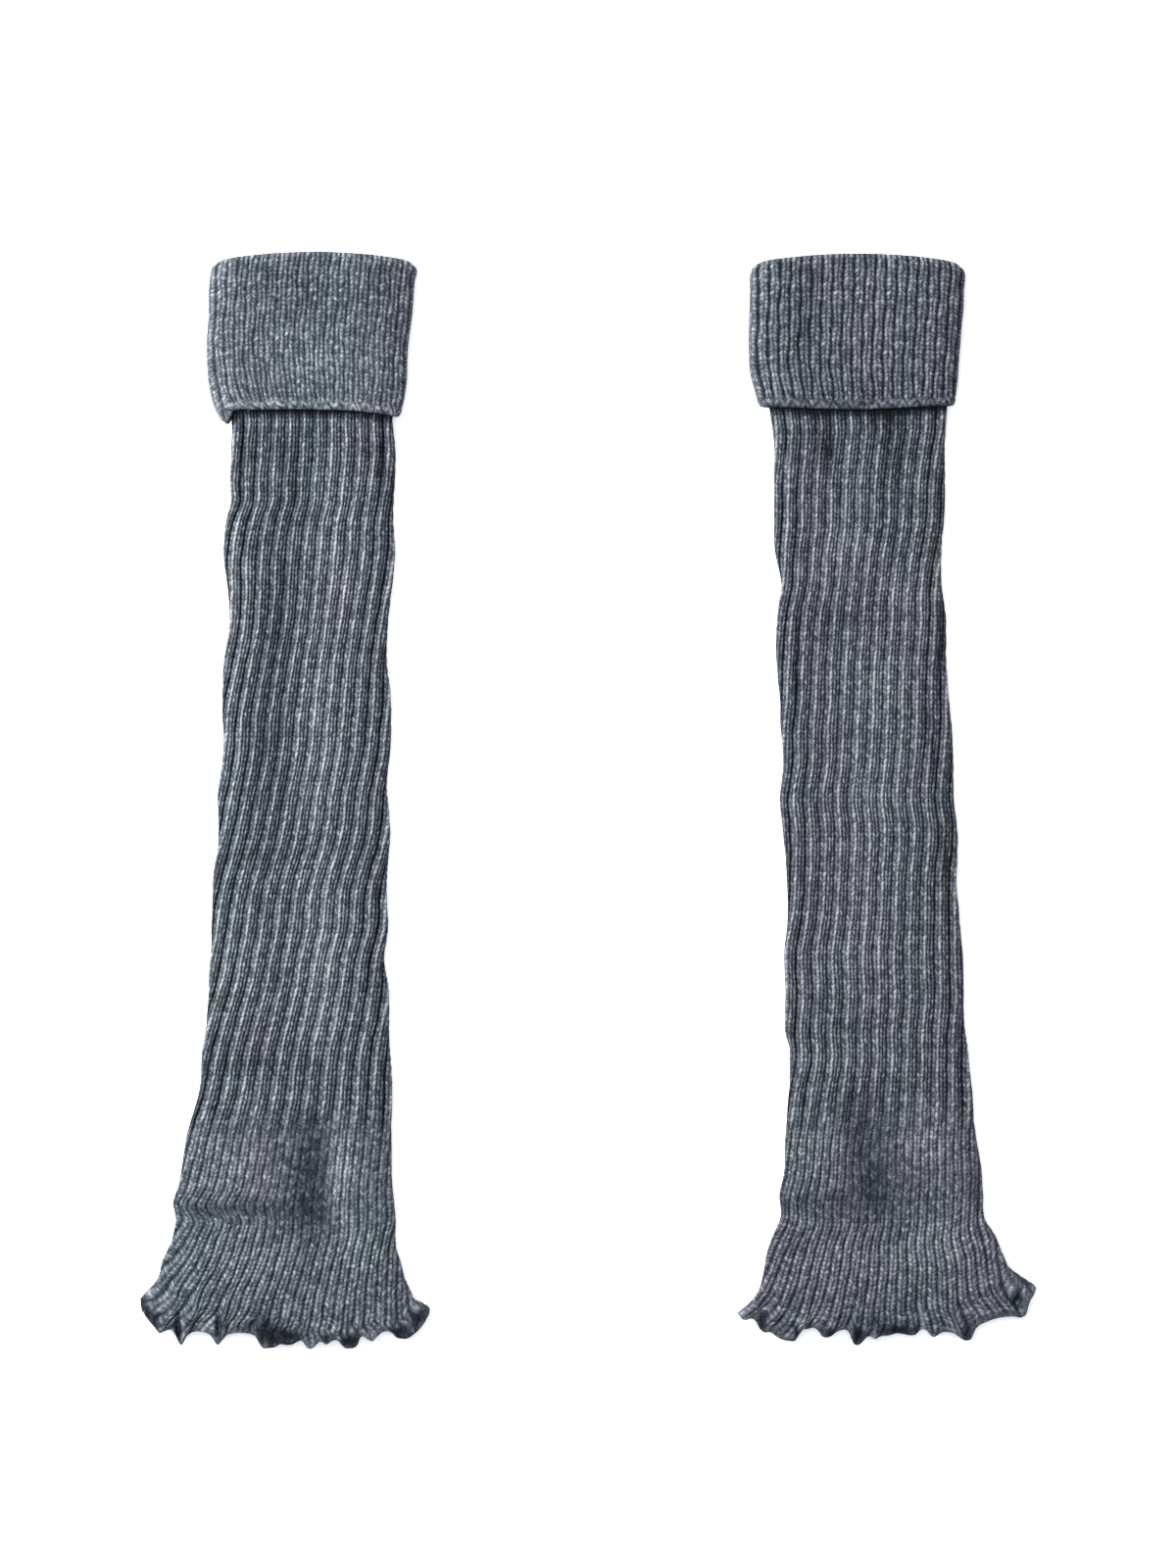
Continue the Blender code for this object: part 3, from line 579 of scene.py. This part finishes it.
fold_of = {leg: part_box(leg + "_cuff")[1].y / MM for leg in LEGS}
seam_of = {leg: fold_of[leg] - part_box(leg + "_tube")[0].y / MM for leg in LEGS}
CUFF_EDGE = by_leg(
    "across down",
    left=(
        (0, 73.4), (0.015, 72.9), (0.03, 70.6), (0.045, 68.5), (0.06, 67.7), (0.08, 67.4),
        (0.15, 67.4), (0.5, 67.4), (0.75, 68.0), (1, 70.2),
    ),
    right=(
        (0.0, 65.2), (0.5, 66.4), (1.0, 64.6),
    ),
)

SLATE = (
    (0.08, (0.0018, 0.0029, 0.0048)),
    (0.34, (0.0149, 0.0193, 0.0263)),
    (0.56, (0.0494, 0.0572, 0.0692)),
    (0.76, (0.1196, 0.1312, 0.1485)),
    (0.96, (0.2418, 0.2549, 0.2745)),
)
tube_knit = knit_material("tube_knit", SLATE, depths=(-0.5, 1.15))


def tube_parts(leg):
    """The tube's rows: down its outside from inside the cuff to the hem, and up its inside."""
    sides, edges = TUBE_SIDES[leg], CUFF_EDGE[leg]
    edge = edges["down"]
    seam, highest = seam_of[leg], edge.min() - TUCKED
    step = COURSE / COURSE_ROWS
    shown = seam - step * np.arange(int((seam - highest) / step), -1, -1)

    def surface(down, inset, knitted=1.0):
        """Rows at these places down, inset from the outside, and knitted or plain (0)."""
        down = np.asarray(down, float)[:, None]
        shift = follow(TURNS[leg], "ribs", down)
        turn, wale = rib_columns(shift, WIDE_RIBS, WIDE_WALES)
        left, right = follow(sides, "left", down), follow(sides, "right", down)
        across, angle = flat_ring(turn, right - left, RADIUS)
        upward = np.sin(angle)
        x = left + across * (right - left)
        course = (down - seam) / COURSE
        place = from_left(across, angle, right - left, RADIUS)
        along = down + crest(place) * (1 - ease(*CREST_FADES, down))
        freed = ease(edge.max() + FOLDS_START, edge.max() + SETTLE, down)
        low = CUFF_LAYER * (1 - ease(edge.max() + SETTLE_START, edge.max() + SETTLE, down))
        fold = folds(leg, x, down) * (1 + upward) / 2
        to_cuff = down - follow(edges, "down", place, by="across")
        shadow = UNDER_CUFF * (1 - ease(0, UNDER_CUFF_LENGTH, to_cuff))
        pressed = 1 - ease(edge.min(), edge.min() + PRESSED_LENGTH, down)
        full = RELIEF[leg] * knitted * (1 - (1 - PRESSED) * pressed)
        loose = ease(seam - SLACK_START[leg], seam, down)
        plain = TUBE_PLAIN * (1 - loose) + slackness(place) * loose
        base = wide_profile(wale, place)
        relief = yarn_on(base, base / FINE_RIDGE, upward, wale, course)
        relief = relief * full * (1 - PLAIN_RELIEF * plain)
        sunk = droop(place, angle, right - left, SOFT_RADIUS)
        reach, lift = RADIUS - inset + relief, fold * freed - sunk
        points = laid(leg, turn, left, right, along, low, RADIUS, reach, lift)
        points[..., 0] += stray(wale, down) * full * np.clip(upward, 0, 1)
        # The kept depth: the relief, whose furrows the material paints darker; painted shade and
        # light
        # from the folds; the painted shadow under the cuff's edge; and the tube's paleness.
        return points, wale, course, relief + FOLD_PAINTED_SHADE * fold - shadow + PALER[leg], plain

    return [
        surface(HIDDEN_ROWS, 0.0, knitted=0.0),
        surface(shown, 0.0),
        surface([seam], CLOTH, knitted=0.0),
        surface(np.linspace(seam, highest, LINING_ROWS)[1:], CLOTH, knitted=0.0),
        surface(HIDDEN_ROWS[::-1], CLOTH, knitted=0.0),
    ]


for leg in LEGS:
    parts = tube_parts(leg)
    last_row = len(parts[0][0]) + len(parts[1][0]) - 1
    end_rows = [last_row, last_row + 1]
    piece = knit_mesh(leg + "_tube_knit", parts, WIDE_RIBS * WALES, tube_knit, end_rows)
    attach(piece, "root")
    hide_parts(leg + "_tube")

# -----------------------------------------------------------------------------
# The hems. Below each tube the same stitches go on in fine ribs and flare out to an edge that the
# yarn's tension has ruffled: it is bound off tightly and curls into points, with bays and short
# dark folds between them.

HEM_COURSES = 48  # rows of knitting down it
HEM_UNDER_COLUMNS = 30  # more than elsewhere, as its edge waves
EDGE_ROLL = 0.35  # how far the bound edge stands out
ROLL_BEADS = 0.4  # and how much of that the beads on it make
EDGE_LENGTHS = (1.32, 2.2)  # it passes into the knit this far from the edge
EDGE_BULGE = 0.4  # how far the middle of the cloth's thickness stands out at a bound edge
BOUND_SHADE = 0.3  # how much paler the bound edge is
SLACK_SHARES = (0.3, 0.75)  # shares of its length over which it gets taut
SLACK_SHADE = 0.25  # how much paler it is before that
HEM_PLAIN = 0.08  # how far stitches and ribs are lost where it is taut
BOUND_PLAIN = 0.5  # and how much more at the bound edge, in folds and in curls
FOLD_PLAIN = 1 / 3
CURL_PLAIN = 0.5
MOST_PLAIN = 0.9
FRONT_LIFT = 1.6  # height of the front layer's points over its bays
BACK_LIFT = 0.8  # height of the back layer's waves at the edge
BACK_NOTCH = 3.0
BACK_RECESS = 4.0  # the back layer's edge lies this far inside the front layer's
RUFFLE_START = 0.72  # share of the hem's length at which the waves begin
POINT_POWER = 4.0  # the rows reach the edge's points at this power of their share of the length
LEVEL_POWER = 5  # and the edge its corners at this power of the way to a side
NOTCH_POWER = 6  # at which the back layer's edge meets the front one's

# The edge of the front layer from the left side to the right, through its points and bays.
HEM_EDGE = by_leg(
    "across down",
    left=(
        (-71.6, 448.0), (-71.2, 451.4), (-70.0, 453.9), (-68.1, 456.7), (-65.8, 459.2),
        (-63.3, 462.2), (-60.8, 461.3), (-57.6, 461.2), (-56.3, 463.2), (-55.2, 465.9),
        (-54.0, 467.4), (-52.9, 466.5), (-51.9, 464.2), (-50.2, 462.4), (-47.4, 461.6),
        (-44.3, 461.9), (-40.9, 463.8), (-39.4, 466.3), (-38.3, 467.4), (-36.8, 465.9),
        (-34.9, 463.6), (-31.5, 462.4), (-26.9, 462.3), (-23.8, 462.8), (-21.9, 464.0),
        (-20.8, 466.2), (-19.6, 468.0), (-16.2, 468.6), (-13.6, 468.1), (-11.8, 467.1),
        (-8.2, 467.3), (-6.0, 467.0), (-4.0, 465.9), (-2.2, 465.5), (-0.9, 467.0), (0.3, 468.5),
        (1.6, 468.8), (2.9, 468.4), (4.1, 467.1), (5.4, 466.0), (6.8, 466.2), (8.2, 467.1),
        (9.6, 466.4), (11.2, 465.4), (13.4, 465.6), (14.7, 467.0), (16.2, 468.4), (18.3, 468.7),
        (20.5, 468.3), (22.0, 466.7), (22.9, 464.2), (24.2, 463.7), (26.6, 465.2), (28.2, 465.5),
        (29.7, 464.3), (31.4, 462.6), (34.3, 461.5), (36.6, 462.3), (38.6, 464.1), (40.6, 464.6),
        (43.6, 464.3), (45.8, 462.8), (48.0, 460.9), (50.1, 458.3), (51.6, 455.9), (52.5, 453.6),
        (52.8, 451.8),
    ),
    right=(
        (-55.7, 453.2), (-54.4, 455.1), (-52.6, 455.9), (-49.4, 455.3), (-48.1, 456.1),
        (-46.5, 459.3), (-44.8, 460.9), (-41.6, 461.1), (-38.9, 463.0), (-36.2, 464.2),
        (-33.4, 464.7), (-30.9, 464.3), (-29.7, 462.6), (-28.3, 460.5), (-25.6, 459.7),
        (-22.9, 459.3), (-21.3, 460.4), (-19.6, 462.7), (-17.7, 463.3), (-15.8, 462.8),
        (-13.2, 460.9), (-10.9, 460.1), (-9.0, 460.2), (-7.8, 461.7), (-6.6, 465.2), (-4.9, 466.6),
        (-3.3, 466.2), (-1.9, 464.8), (-0.5, 463.1), (1.2, 462.9), (3.1, 463.9), (4.9, 463.0),
        (9.1, 462.4), (12.6, 461.6), (15.7, 462.0), (18.6, 462.4), (20.8, 461.8), (22.1, 460.4),
        (23.5, 459.7), (25.0, 460.2), (26.5, 462.0), (28.1, 463.1), (29.7, 462.3), (31.6, 461.2),
        (34.1, 461.0), (37.1, 461.8), (39.4, 463.4), (41.3, 464.5), (42.9, 464.5), (44.2, 463.7),
        (45.0, 462.0), (46.0, 459.8), (47.6, 458.2), (50.7, 456.7), (54.5, 455.3), (58.4, 454.6),
        (62.3, 454.3), (66.3, 454.3), (67.9, 452.6), (68.6, 449.7), (69.7, 446.9), (71.2, 444.6),
        (71.8, 442.2),
    ),
)
EDGE_MIDDLE = {"left": 465.6, "right": 462.4}  # how far down the edge lies between its two corners
POINT_DEPTH = 2.5  # half as far as the points stand out past the bays

# Where the edge curls: dark folds that sink, and pale lips that stand up. shade counts towards the
# yarn's tone as height does, this many times: painted shadow in the folds, painted light on the
# lips.
CURL_SHADE = 1.3
CURLS = by_leg(
    "across down half_width half_length sink shade",
    left=(
        (-69.6, 448.1, 1.3, 3.2, 0.0, -1.6), (-68.3, 453.4, 1.4, 3.2, 0.0, -1.6),
        (-65.5, 458.0, 1.4, 3.0, 0.0, -1.2), (-55.0, 461.2, 1.2, 6.2, 2.4, -1.8),
        (-52.9, 462.8, 0.8, 4.0, -0.5, 0.7), (-43.7, 459.5, 3.0, 2.2, 0.0, 0.8),
        (-37.8, 460.3, 1.3, 5.6, 2.4, -1.6), (-36.0, 464.0, 0.7, 3.0, -0.4, 0.6),
        (-17.5, 461.5, 6.0, 5.0, 0.8, -1.4), (-7.5, 465.0, 7.0, 3.2, 0.8, -1.4),
        (9.5, 461.0, 5.0, 1.2, -0.3, 0.4), (1.7, 466.2, 2.5, 3.0, -0.4, 0.6),
        (8.4, 465.4, 1.5, 1.5, 0.6, -1.0), (18.9, 465.8, 3.4, 2.4, 1.0, -1.7),
        (27.3, 463.7, 1.8, 3.0, -0.4, 0.5), (32.3, 459.1, 3.5, 1.4, 0.0, 0.6),
        (41.2, 462.4, 5.0, 3.0, 1.0, -1.4), (48.7, 456.5, 3.5, 4.5, 0.4, -0.9),
        (51.2, 450.7, 2.0, 2.2, 0.4, -0.9),
    ),
    right=(
        (-53.8, 452.8, 2.5, 2.0, -0.4, 0.5), (-44.9, 458.2, 1.6, 3.6, 1.6, -1.4),
        (-35.7, 462.8, 5.0, 1.2, 0.0, 0.4), (-30.2, 461.2, 1.0, 2.6, 0.6, -1.2),
        (-27.3, 456.5, 5.0, 2.0, 0.0, 0.7), (-16.4, 461.6, 3.0, 2.2, 0.6, -1.0),
        (-3.8, 463.7, 2.8, 4.0, 1.8, -1.5), (13.9, 461.2, 8.5, 2.2, 1.0, -1.4),
        (2.0, 457.5, 11.0, 2.5, 0.4, -0.5), (23.5, 457.8, 1.5, 2.5, -0.3, 0.5),
        (27.7, 461.6, 2.2, 2.2, -0.3, 0.4), (42.0, 462.4, 2.2, 3.6, 0.8, -1.1),
        (49.6, 453.2, 5.0, 1.3, -0.3, 0.6), (64.3, 448.1, 1.7, 2.8, 2.2, -2.2),
        (70.1, 446.0, 2.0, 5.0, -0.3, 0.4),
    ),
)

# Kinks, where the ribs lean to the right for a short way: they're shifted to the left just above
# and to the right just below.
KINK_PEAK = 2.3  # makes the greatest shift what the table says
KINK_FADE = 5.0  # from a side, the length over which a kink gets full
KINKS = by_leg(
    "across down half_width half_length shift",
    left=(
        (-40, 411.5, 24, 5.5, 2.3),
    ),
    right=(
        (-2, 397, 8, 12, 1.0),
    ),
)

hem_knit = knit_material("hem_knit", SLATE, depths=(-1.2, 1.2))


def sway(leg, x, down):
    """How far the ribs are shifted to the right by the kinks: along each it's the distance from its
    middle under a bell, highest at 0.7 of its half length."""
    shifted = 0.0
    for across, middle, half_width, half_length, shift in zip(*KINKS[leg].values()):
        along = (down - middle) / half_length
        bell = bump(np.hypot(along, (x - across) / half_width))
        shifted = shifted + KINK_PEAK * shift * along * bell
    return shifted


def hem_parts(leg):
    """The hem's rows: down its outside from the tube to the ruffled edge, and up its inside."""
    sides, edges, seam = TUBE_SIDES[leg], HEM_EDGE[leg], seam_of[leg]
    ends, middle = edges["down"][[0, -1]], EDGE_MIDDLE[leg]
    length = middle - seam

    def surface(share, inset, knitted=1.0, overhang=0.0):
        """Rows at these shares of the length, inset from the outside, and knitted or plain (0)."""
        share = np.asarray(share, float)[:, None]
        shift = follow(TURNS[leg], "ribs", seam + length * share)
        passed = ease(0, RIB_BLEND[leg] / length, share)
        wide, wale = rib_columns(shift, WIDE_RIBS, WIDE_WALES, HEM_UNDER_COLUMNS)
        fine = rib_columns(shift, WIDE_RIBS, FINE_WALES, HEM_UNDER_COLUMNS)[0]
        turn = wide * (1 - passed) + fine * passed
        left = follow(sides, "left", seam + (ends[0] - seam) * share)
        right = follow(sides, "right", seam + (ends[1] - seam) * share)
        across, angle = flat_ring(turn, right - left, RADIUS)
        upward = np.sin(angle)
        front = (1 + upward) / 2

        # Each row keeps to the hem's even curve, and is drawn towards the points and bays of the
        # edge as it nears it. The back layer lies inside the front one.
        place = from_left(across, angle, right - left, RADIUS)
        to_side = np.abs(2 * place - 1)
        corner = ends[0] * (1 - place) + ends[1] * place
        level = middle + (corner - middle) * to_side**LEVEL_POWER
        edge_x = edges["across"][0] + np.ptp(edges["across"]) * place
        points = follow(edges, "down", edge_x, by="across") - level
        crests = ease(-POINT_DEPTH, POINT_DEPTH, points)
        back = points - (BACK_RECESS + BACK_NOTCH * crests) * (1 - to_side**NOTCH_POWER)
        edge = level + (points * front + back * (1 - front)) * share**POINT_POWER
        down = seam + (edge - seam) * share + overhang

        # The edge waves: the front layer stands up at the points, the back layer between them.
        x = left + RADIUS + across * (right - left - 2 * RADIUS)
        rise = ease(RUFFLE_START, 1, share)
        fold = folds(leg, x, down)
        sunk = bells(CURLS[leg], "sink", x, down) + droop(place, angle, right - left, SOFT_RADIUS)
        # Painted shadow in the curls' folds, and painted light on their lips.
        painted_curl_shade = CURL_SHADE * bells(CURLS[leg], "shade", x, down)
        front_lift = fold + rise * (BACK_LIFT + FRONT_LIFT * crests) - sunk
        lift = front_lift * front + rise * BACK_LIFT * (1 - crests) * (1 - front)

        course = share * HEM_COURSES
        to_edge = (1 - share) * length
        bound = 1 - ease(*EDGE_LENGTHS, to_edge)
        taut = ease(*SLACK_SHARES, share)
        slack = slackness(place) * (1 - taut) + HEM_PLAIN * taut
        lost = BOUND_PLAIN * bound - FOLD_PLAIN * fold - CURL_PLAIN * painted_curl_shade
        plain = np.clip(slack + lost * front, 0, MOST_PLAIN)
        base = wide_profile(wale, place) * (1 - passed) + FINE_RIDGE * fine_profile(wale) * passed
        fabric = yarn_on(base, base / FINE_RIDGE, upward, wale, course) * (1 - PLAIN_RELIEF * plain)
        fabric = fabric * (RELIEF[leg] + (1 - RELIEF[leg]) * passed)
        roll = EDGE_ROLL * (1 - ROLL_BEADS + ROLL_BEADS * np.cos(pi * wale))
        relief = (fabric * (1 - bound) + roll * bound * ease(*BOUND_FADE, upward)) * knitted
        reach = RADIUS - inset + relief
        knit_points = laid(leg, turn, left, right, down, 0.0, RADIUS, reach, lift)
        free = np.clip(upward, 0, 1) * knitted * (1 - bound)
        inward = ease(0, KINK_FADE, x - left) * ease(0, KINK_FADE, right - x) * front
        knit_points[..., 0] += stray(wale, down) * free + sway(leg, x, down) * inward
        # Painted shade and light from the folds and curls, and the bound edge's paler yarn.
        shade = FOLD_PAINTED_SHADE * fold + painted_curl_shade + BOUND_SHADE * bound
        return knit_points, wale, course, relief + SLACK_SHADE * slack + shade * front, plain

    outside = np.linspace(0, 1, HEM_COURSES * COURSE_ROWS + 1)
    return [
        surface(outside, 0.0),
        surface([1.0], CLOTH / 2, knitted=0.0, overhang=EDGE_BULGE),
        surface([1.0], CLOTH, knitted=0.0),
        surface(np.linspace(1, 0, LINING_ROWS)[1:], CLOTH, knitted=0.0),
    ]


for leg in LEGS:
    parts = hem_parts(leg)
    top_rows = [0, sum(len(part[0]) for part in parts) - 1]
    piece = knit_mesh(leg + "_hem_knit", parts, WIDE_RIBS * WALES, hem_knit, top_rows)
    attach(piece, "root")
    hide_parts(leg + "_hem")

# -----------------------------------------------------------------------------
# The cuffs. The top of each leg is knitted in fine ribs and turned down once, so it shows its
# other face. It is folded over a soft roll at the top, and its free edge is bound off in a chain.

CUFF_RIBS = 42  # all round
CUFF_WALES = (-0.25, 0.25, 0.75)  # where the two wales of a rib meet
CUFF_RIDGE = {"left": 0.25, "right": 0.7}  # the left cuff is stretched flatter
CUFF_PALER = {"left": 0.5, "right": 0.12}  # and so shows paler
SLACK_RIDGE = 0.5  # how much higher the ribs are at the left side, where the cloth is slack
SLACK_WIDTH = 0.2  # share of the cuff's width over which it gets taut
CUFF_RADIUS = 3.9  # half the thickness of the cuff and the tube in it
CUFF_COURSE = 2.0  # length of one row of its knitting
FOLD_RADIUS = 1.85
FOLD_DEPTH = 4.0  # from the fold down to the end of the doubled cloth
FOLD_ROWS = 10
LINING_TOP = 0.94  # share of the way up where the inside's even rows end
ROLL_LENGTH = 5.0  # how far the fold's roll reaches down the outside
ROLL_PAINTED_LIGHT = 0.3  # painted light on the roll: how much paler the yarn is painted there
CUFF_PLAIN = {"left": 0.15, "right": 0.0}  # how far its stitches are lost
CUFF_STRAY = 2.0  # times as far as the wales of the tubes stray

# The bound-off chain along the free edge: links in a zigzag of Vs.
CHAIN_LENGTH = 4.2  # from the free edge to its top
CHAIN_FADES = (0.75, 1.1)  # shares of that over which it passes into the knit
CHAIN_HEIGHT = 0.8
CHAIN_START = 0.1  # share of its length below which its swell is level
CHAIN_POWER = 0.6  # makes its swell fuller than a sine
CHAIN_GAPS = 0.35  # height between its links, in shares of theirs
CHAIN_SHADE = 0.12  # how much paler its yarn is
CHAIN_PAINTED_CONTRAST = 1.1  # of the painted light on its links against the painted shade in the gaps
CHAIN_MIDDLE = 0.6  # how far up a link its yarn has its own tone, with painted light above and painted shade below
CHAIN_PLAIN = 0.8  # how far the stitches are lost in it
CHAIN_WALES = 2.8  # from one V to the next
CHAIN_SLANT = 1.4  # of a chain's length, from the middle of a V to its border
CHAIN_STRAY = 0.25  # of a link's length
CHAIN_WAVES = (13, 31)  # waves of that round the leg

CUFF_SIDES = by_leg(
    "down left right",
    left=(
        (4, -38.5, 43.5), (7, -40.6, 46.4), (12.6, -41.6, 45.8), (25, -42.0, 44.9),
        (42, -42.8, 42.9), (59, -41.6, 42.0), (66, -39.8, 40.6), (70, -37.9, 39.2),
        (73.5, -34.9, 38.9),
    ),
    right=(
        (4, -48.6, 38.8), (7, -49.6, 40.5), (16.8, -50.0, 40.7), (33.6, -50.4, 39.5),
        (50.4, -50.0, 38.2), (59, -47.9, 37.4), (66, -46.0, 36.4),
    ),
)

# Soft hollows and swells of the turned-down cloth.
CUFF_FOLDS = by_leg(
    "across down half_width half_length height",
    left=(
        (0, 15, 18, 9, -0.5), (36, 14, 8, 10, -0.5), (6, 48, 20, 14, 0.4), (-37, 62, 6, 10, 0.4),
    ),
    right=(
        (-28, 29, 6, 16, -0.6), (4, 30, 22, 18, 0.4), (-40, 56, 8, 8, 0.4), (35, 36, 6, 24, 0.25),
    ),
)

cuff_knit = knit_material("cuff_knit", SLATE, depths=(-0.7, 1.4), slant=-STITCH_SLANT)


def cuff_parts(leg):
    """The cuff's rows: over its fold from inside the mouth, down the outside to the free edge, and
    up the inside to the end of the doubled cloth."""
    sides, edges = CUFF_SIDES[leg], CUFF_EDGE[leg]
    turn, wale = rib_columns(np.zeros((1, 1)), CUFF_RIBS, CUFF_WALES)
    length = edges["down"].mean()
    courses = round(length / CUFF_COURSE)

    def surface(share, inset, knitted=1.0, rise=0.0, past_fold=0.0):
        """Rows at these shares of the way up, from 0 at the free edge to 1 at the fold, inset
        from the outside, and knitted or plain (0)."""
        share = np.asarray(share, float)[:, None]

        def down_at(across):
            edge = follow(edges, "down", across, by="across")
            return edge * (1 - share) + (crest(across) + FOLD_RADIUS + past_fold) * share - rise

        left = follow(sides, "left", down_at(np.float64(0)))
        right = follow(sides, "right", down_at(np.float64(1)))
        across, angle = flat_ring(turn, right - left, CUFF_RADIUS)
        upward = np.sin(angle)
        front = (1 + upward) / 2
        place = from_left(across, angle, right - left, CUFF_RADIUS)
        down = down_at(place)
        x = left + across * (right - left)
        lift = bells(CUFF_FOLDS[leg], "height", x, down)
        course = (1 - share) * courses
        slack = SLACK_RIDGE * (1 - ease(0, SLACK_WIDTH, place))
        proud = fine_profile(wale)
        base = (CUFF_RIDGE[leg] + slack) * proud
        fabric = yarn_on(base, proud, upward, wale, course, -STITCH_SLANT)

        up = share * length / CHAIN_LENGTH
        bound = 1 - ease(*CHAIN_FADES, up)
        zigzag = np.abs((wale * 2 / CHAIN_WALES + 1) % 2 - 1)
        uneven = CHAIN_STRAY * sum(np.sin(pi * wale * waves / CUFF_RIBS) for waves in CHAIN_WAVES)
        link = np.abs(np.sin(pi * (up + CHAIN_SLANT * zigzag + uneven)))
        swell = np.sin(pi * np.clip(up, CHAIN_START, 1)) ** CHAIN_POWER
        chain = CHAIN_HEIGHT * swell * (CHAIN_GAPS + (1 - CHAIN_GAPS) * link)
        relief = (fabric * (1 - bound) + chain * bound * ease(*BOUND_FADE, upward)) * knitted
        reach = CUFF_RADIUS - inset + relief
        sunk = droop(place, angle, right - left, CUFF_RADIUS)
        points = laid(leg, turn, left, right, down, 0.0, CUFF_RADIUS, reach, lift * front - sunk)
        points[..., 0] += CUFF_STRAY * stray(wale, down) * np.clip(upward, 0, 1)
        # Painted light on the fold's roll, and on the chain its paler yarn, with painted light on
        # the links
        # and painted shade in the gaps between them.
        roll_light_and_chain_tone = ROLL_PAINTED_LIGHT * (1 - ease(0, ROLL_LENGTH, down - crest(place)))
        roll_light_and_chain_tone = roll_light_and_chain_tone + (CHAIN_SHADE + CHAIN_PAINTED_CONTRAST * (link - CHAIN_MIDDLE)) * bound
        depth = relief + (FOLD_PAINTED_SHADE * lift + roll_light_and_chain_tone) * front + CUFF_PALER[leg]
        return points, wale, course, depth, CUFF_PLAIN[leg] * (1 - bound) + CHAIN_PLAIN * bound

    over = np.linspace(pi, 0, FOLD_ROWS + 1)[:-1, None]
    fold = surface(
        np.ones(FOLD_ROWS),
        FOLD_RADIUS * (1 - np.cos(over)),
        knitted=(1 + np.cos(over)) / 2,
        rise=FOLD_RADIUS * np.sin(over),
    )
    outside = np.linspace(1, 0, courses * COURSE_ROWS + 1)
    end = np.array([[CLOTH], [2 * FOLD_RADIUS]])
    return [
        fold,
        surface(outside, 0.0),
        surface([0.0], CLOTH / 2, knitted=0.0, rise=-EDGE_BULGE),
        surface([0.0], CLOTH, knitted=0.0),
        surface(np.linspace(0, LINING_TOP, LINING_ROWS)[1:], CLOTH, knitted=0.0),
        surface([1.0, 1.0], end, knitted=0.0, past_fold=FOLD_DEPTH - FOLD_RADIUS),
    ]


for leg in LEGS:
    piece = knit_mesh(leg + "_cuff_knit", cuff_parts(leg), CUFF_RIBS * 2, cuff_knit)
    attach(piece, "root")
    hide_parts(leg + "_cuff")

# -----------------------------------------------------------------------------
# The floor, the lights and the camera, which looks straight down on the pair.

VIEW_HEIGHT = 672.0  # what the frame takes in, from top to bottom
VIEW_CENTRE = (0.2, 6.7)
LENS = 135.0
SENSOR = 36.0
FLOOR_DROP = 0.3  # below the pair, so that the two aren't in one plane

floor_mesh = bpy.data.meshes.new("floor")
floor_mesh.from_pydata([(-3, -3, 0), (3, -3, 0), (3, 3, 0), (-3, 3, 0)], [], [(0, 1, 2, 3)])
floor = bpy.data.objects.new("floor", floor_mesh)
floor.location.z = -FLOOR_DROP * MM
bpy.context.scene.collection.objects.link(floor)
paper = bpy.data.materials.new("paper")
paper.use_nodes = True
settings(
    paper.node_tree.nodes["Principled BSDF"],
    Base_Color=(0.93, 0.93, 0.93, 1),
    Roughness=0.9,
    Emission_Color=(1.0, 1.0, 1.0, 1),
    Emission_Strength=0.35,
)
floor_mesh.materials.append(paper)

world = bpy.data.worlds.new("studio")
world.use_nodes = True
settings(world.node_tree.nodes["Background"], Color=(0.9, 0.95, 1.0, 1), Strength=0.665)
bpy.context.scene.world = world


def softbox(name, place, size, power, colour=(1.0, 1.0, 1.0)):
    """A square area light at place, turned to the middle of the pair."""
    lamp = bpy.data.lights.new(name, "AREA")
    lamp.size = size
    lamp.energy = power
    lamp.color = colour
    box = bpy.data.objects.new(name, lamp)
    box.location = place
    box.rotation_mode = "QUATERNION"
    box.rotation_quaternion = box.location.to_track_quat("Z", "Y")
    bpy.context.scene.collection.objects.link(box)


softbox("key", (-1.25, 0.6, 0.85), 0.6, 78.0, (1.0, 0.985, 0.965))
softbox("top", (-0.1, 0.3, 2.0), 1.2, 14.0)

camera = bpy.data.objects.new("camera", bpy.data.cameras.new("camera"))
camera.data.lens = LENS
camera.data.sensor_width = SENSOR
camera.location = (VIEW_CENTRE[0] * MM, VIEW_CENTRE[1] * MM, VIEW_HEIGHT * MM * LENS / SENSOR)
bpy.context.scene.collection.objects.link(camera)
bpy.context.scene.camera = camera
bpy.context.scene.view_settings.view_transform = "Standard"
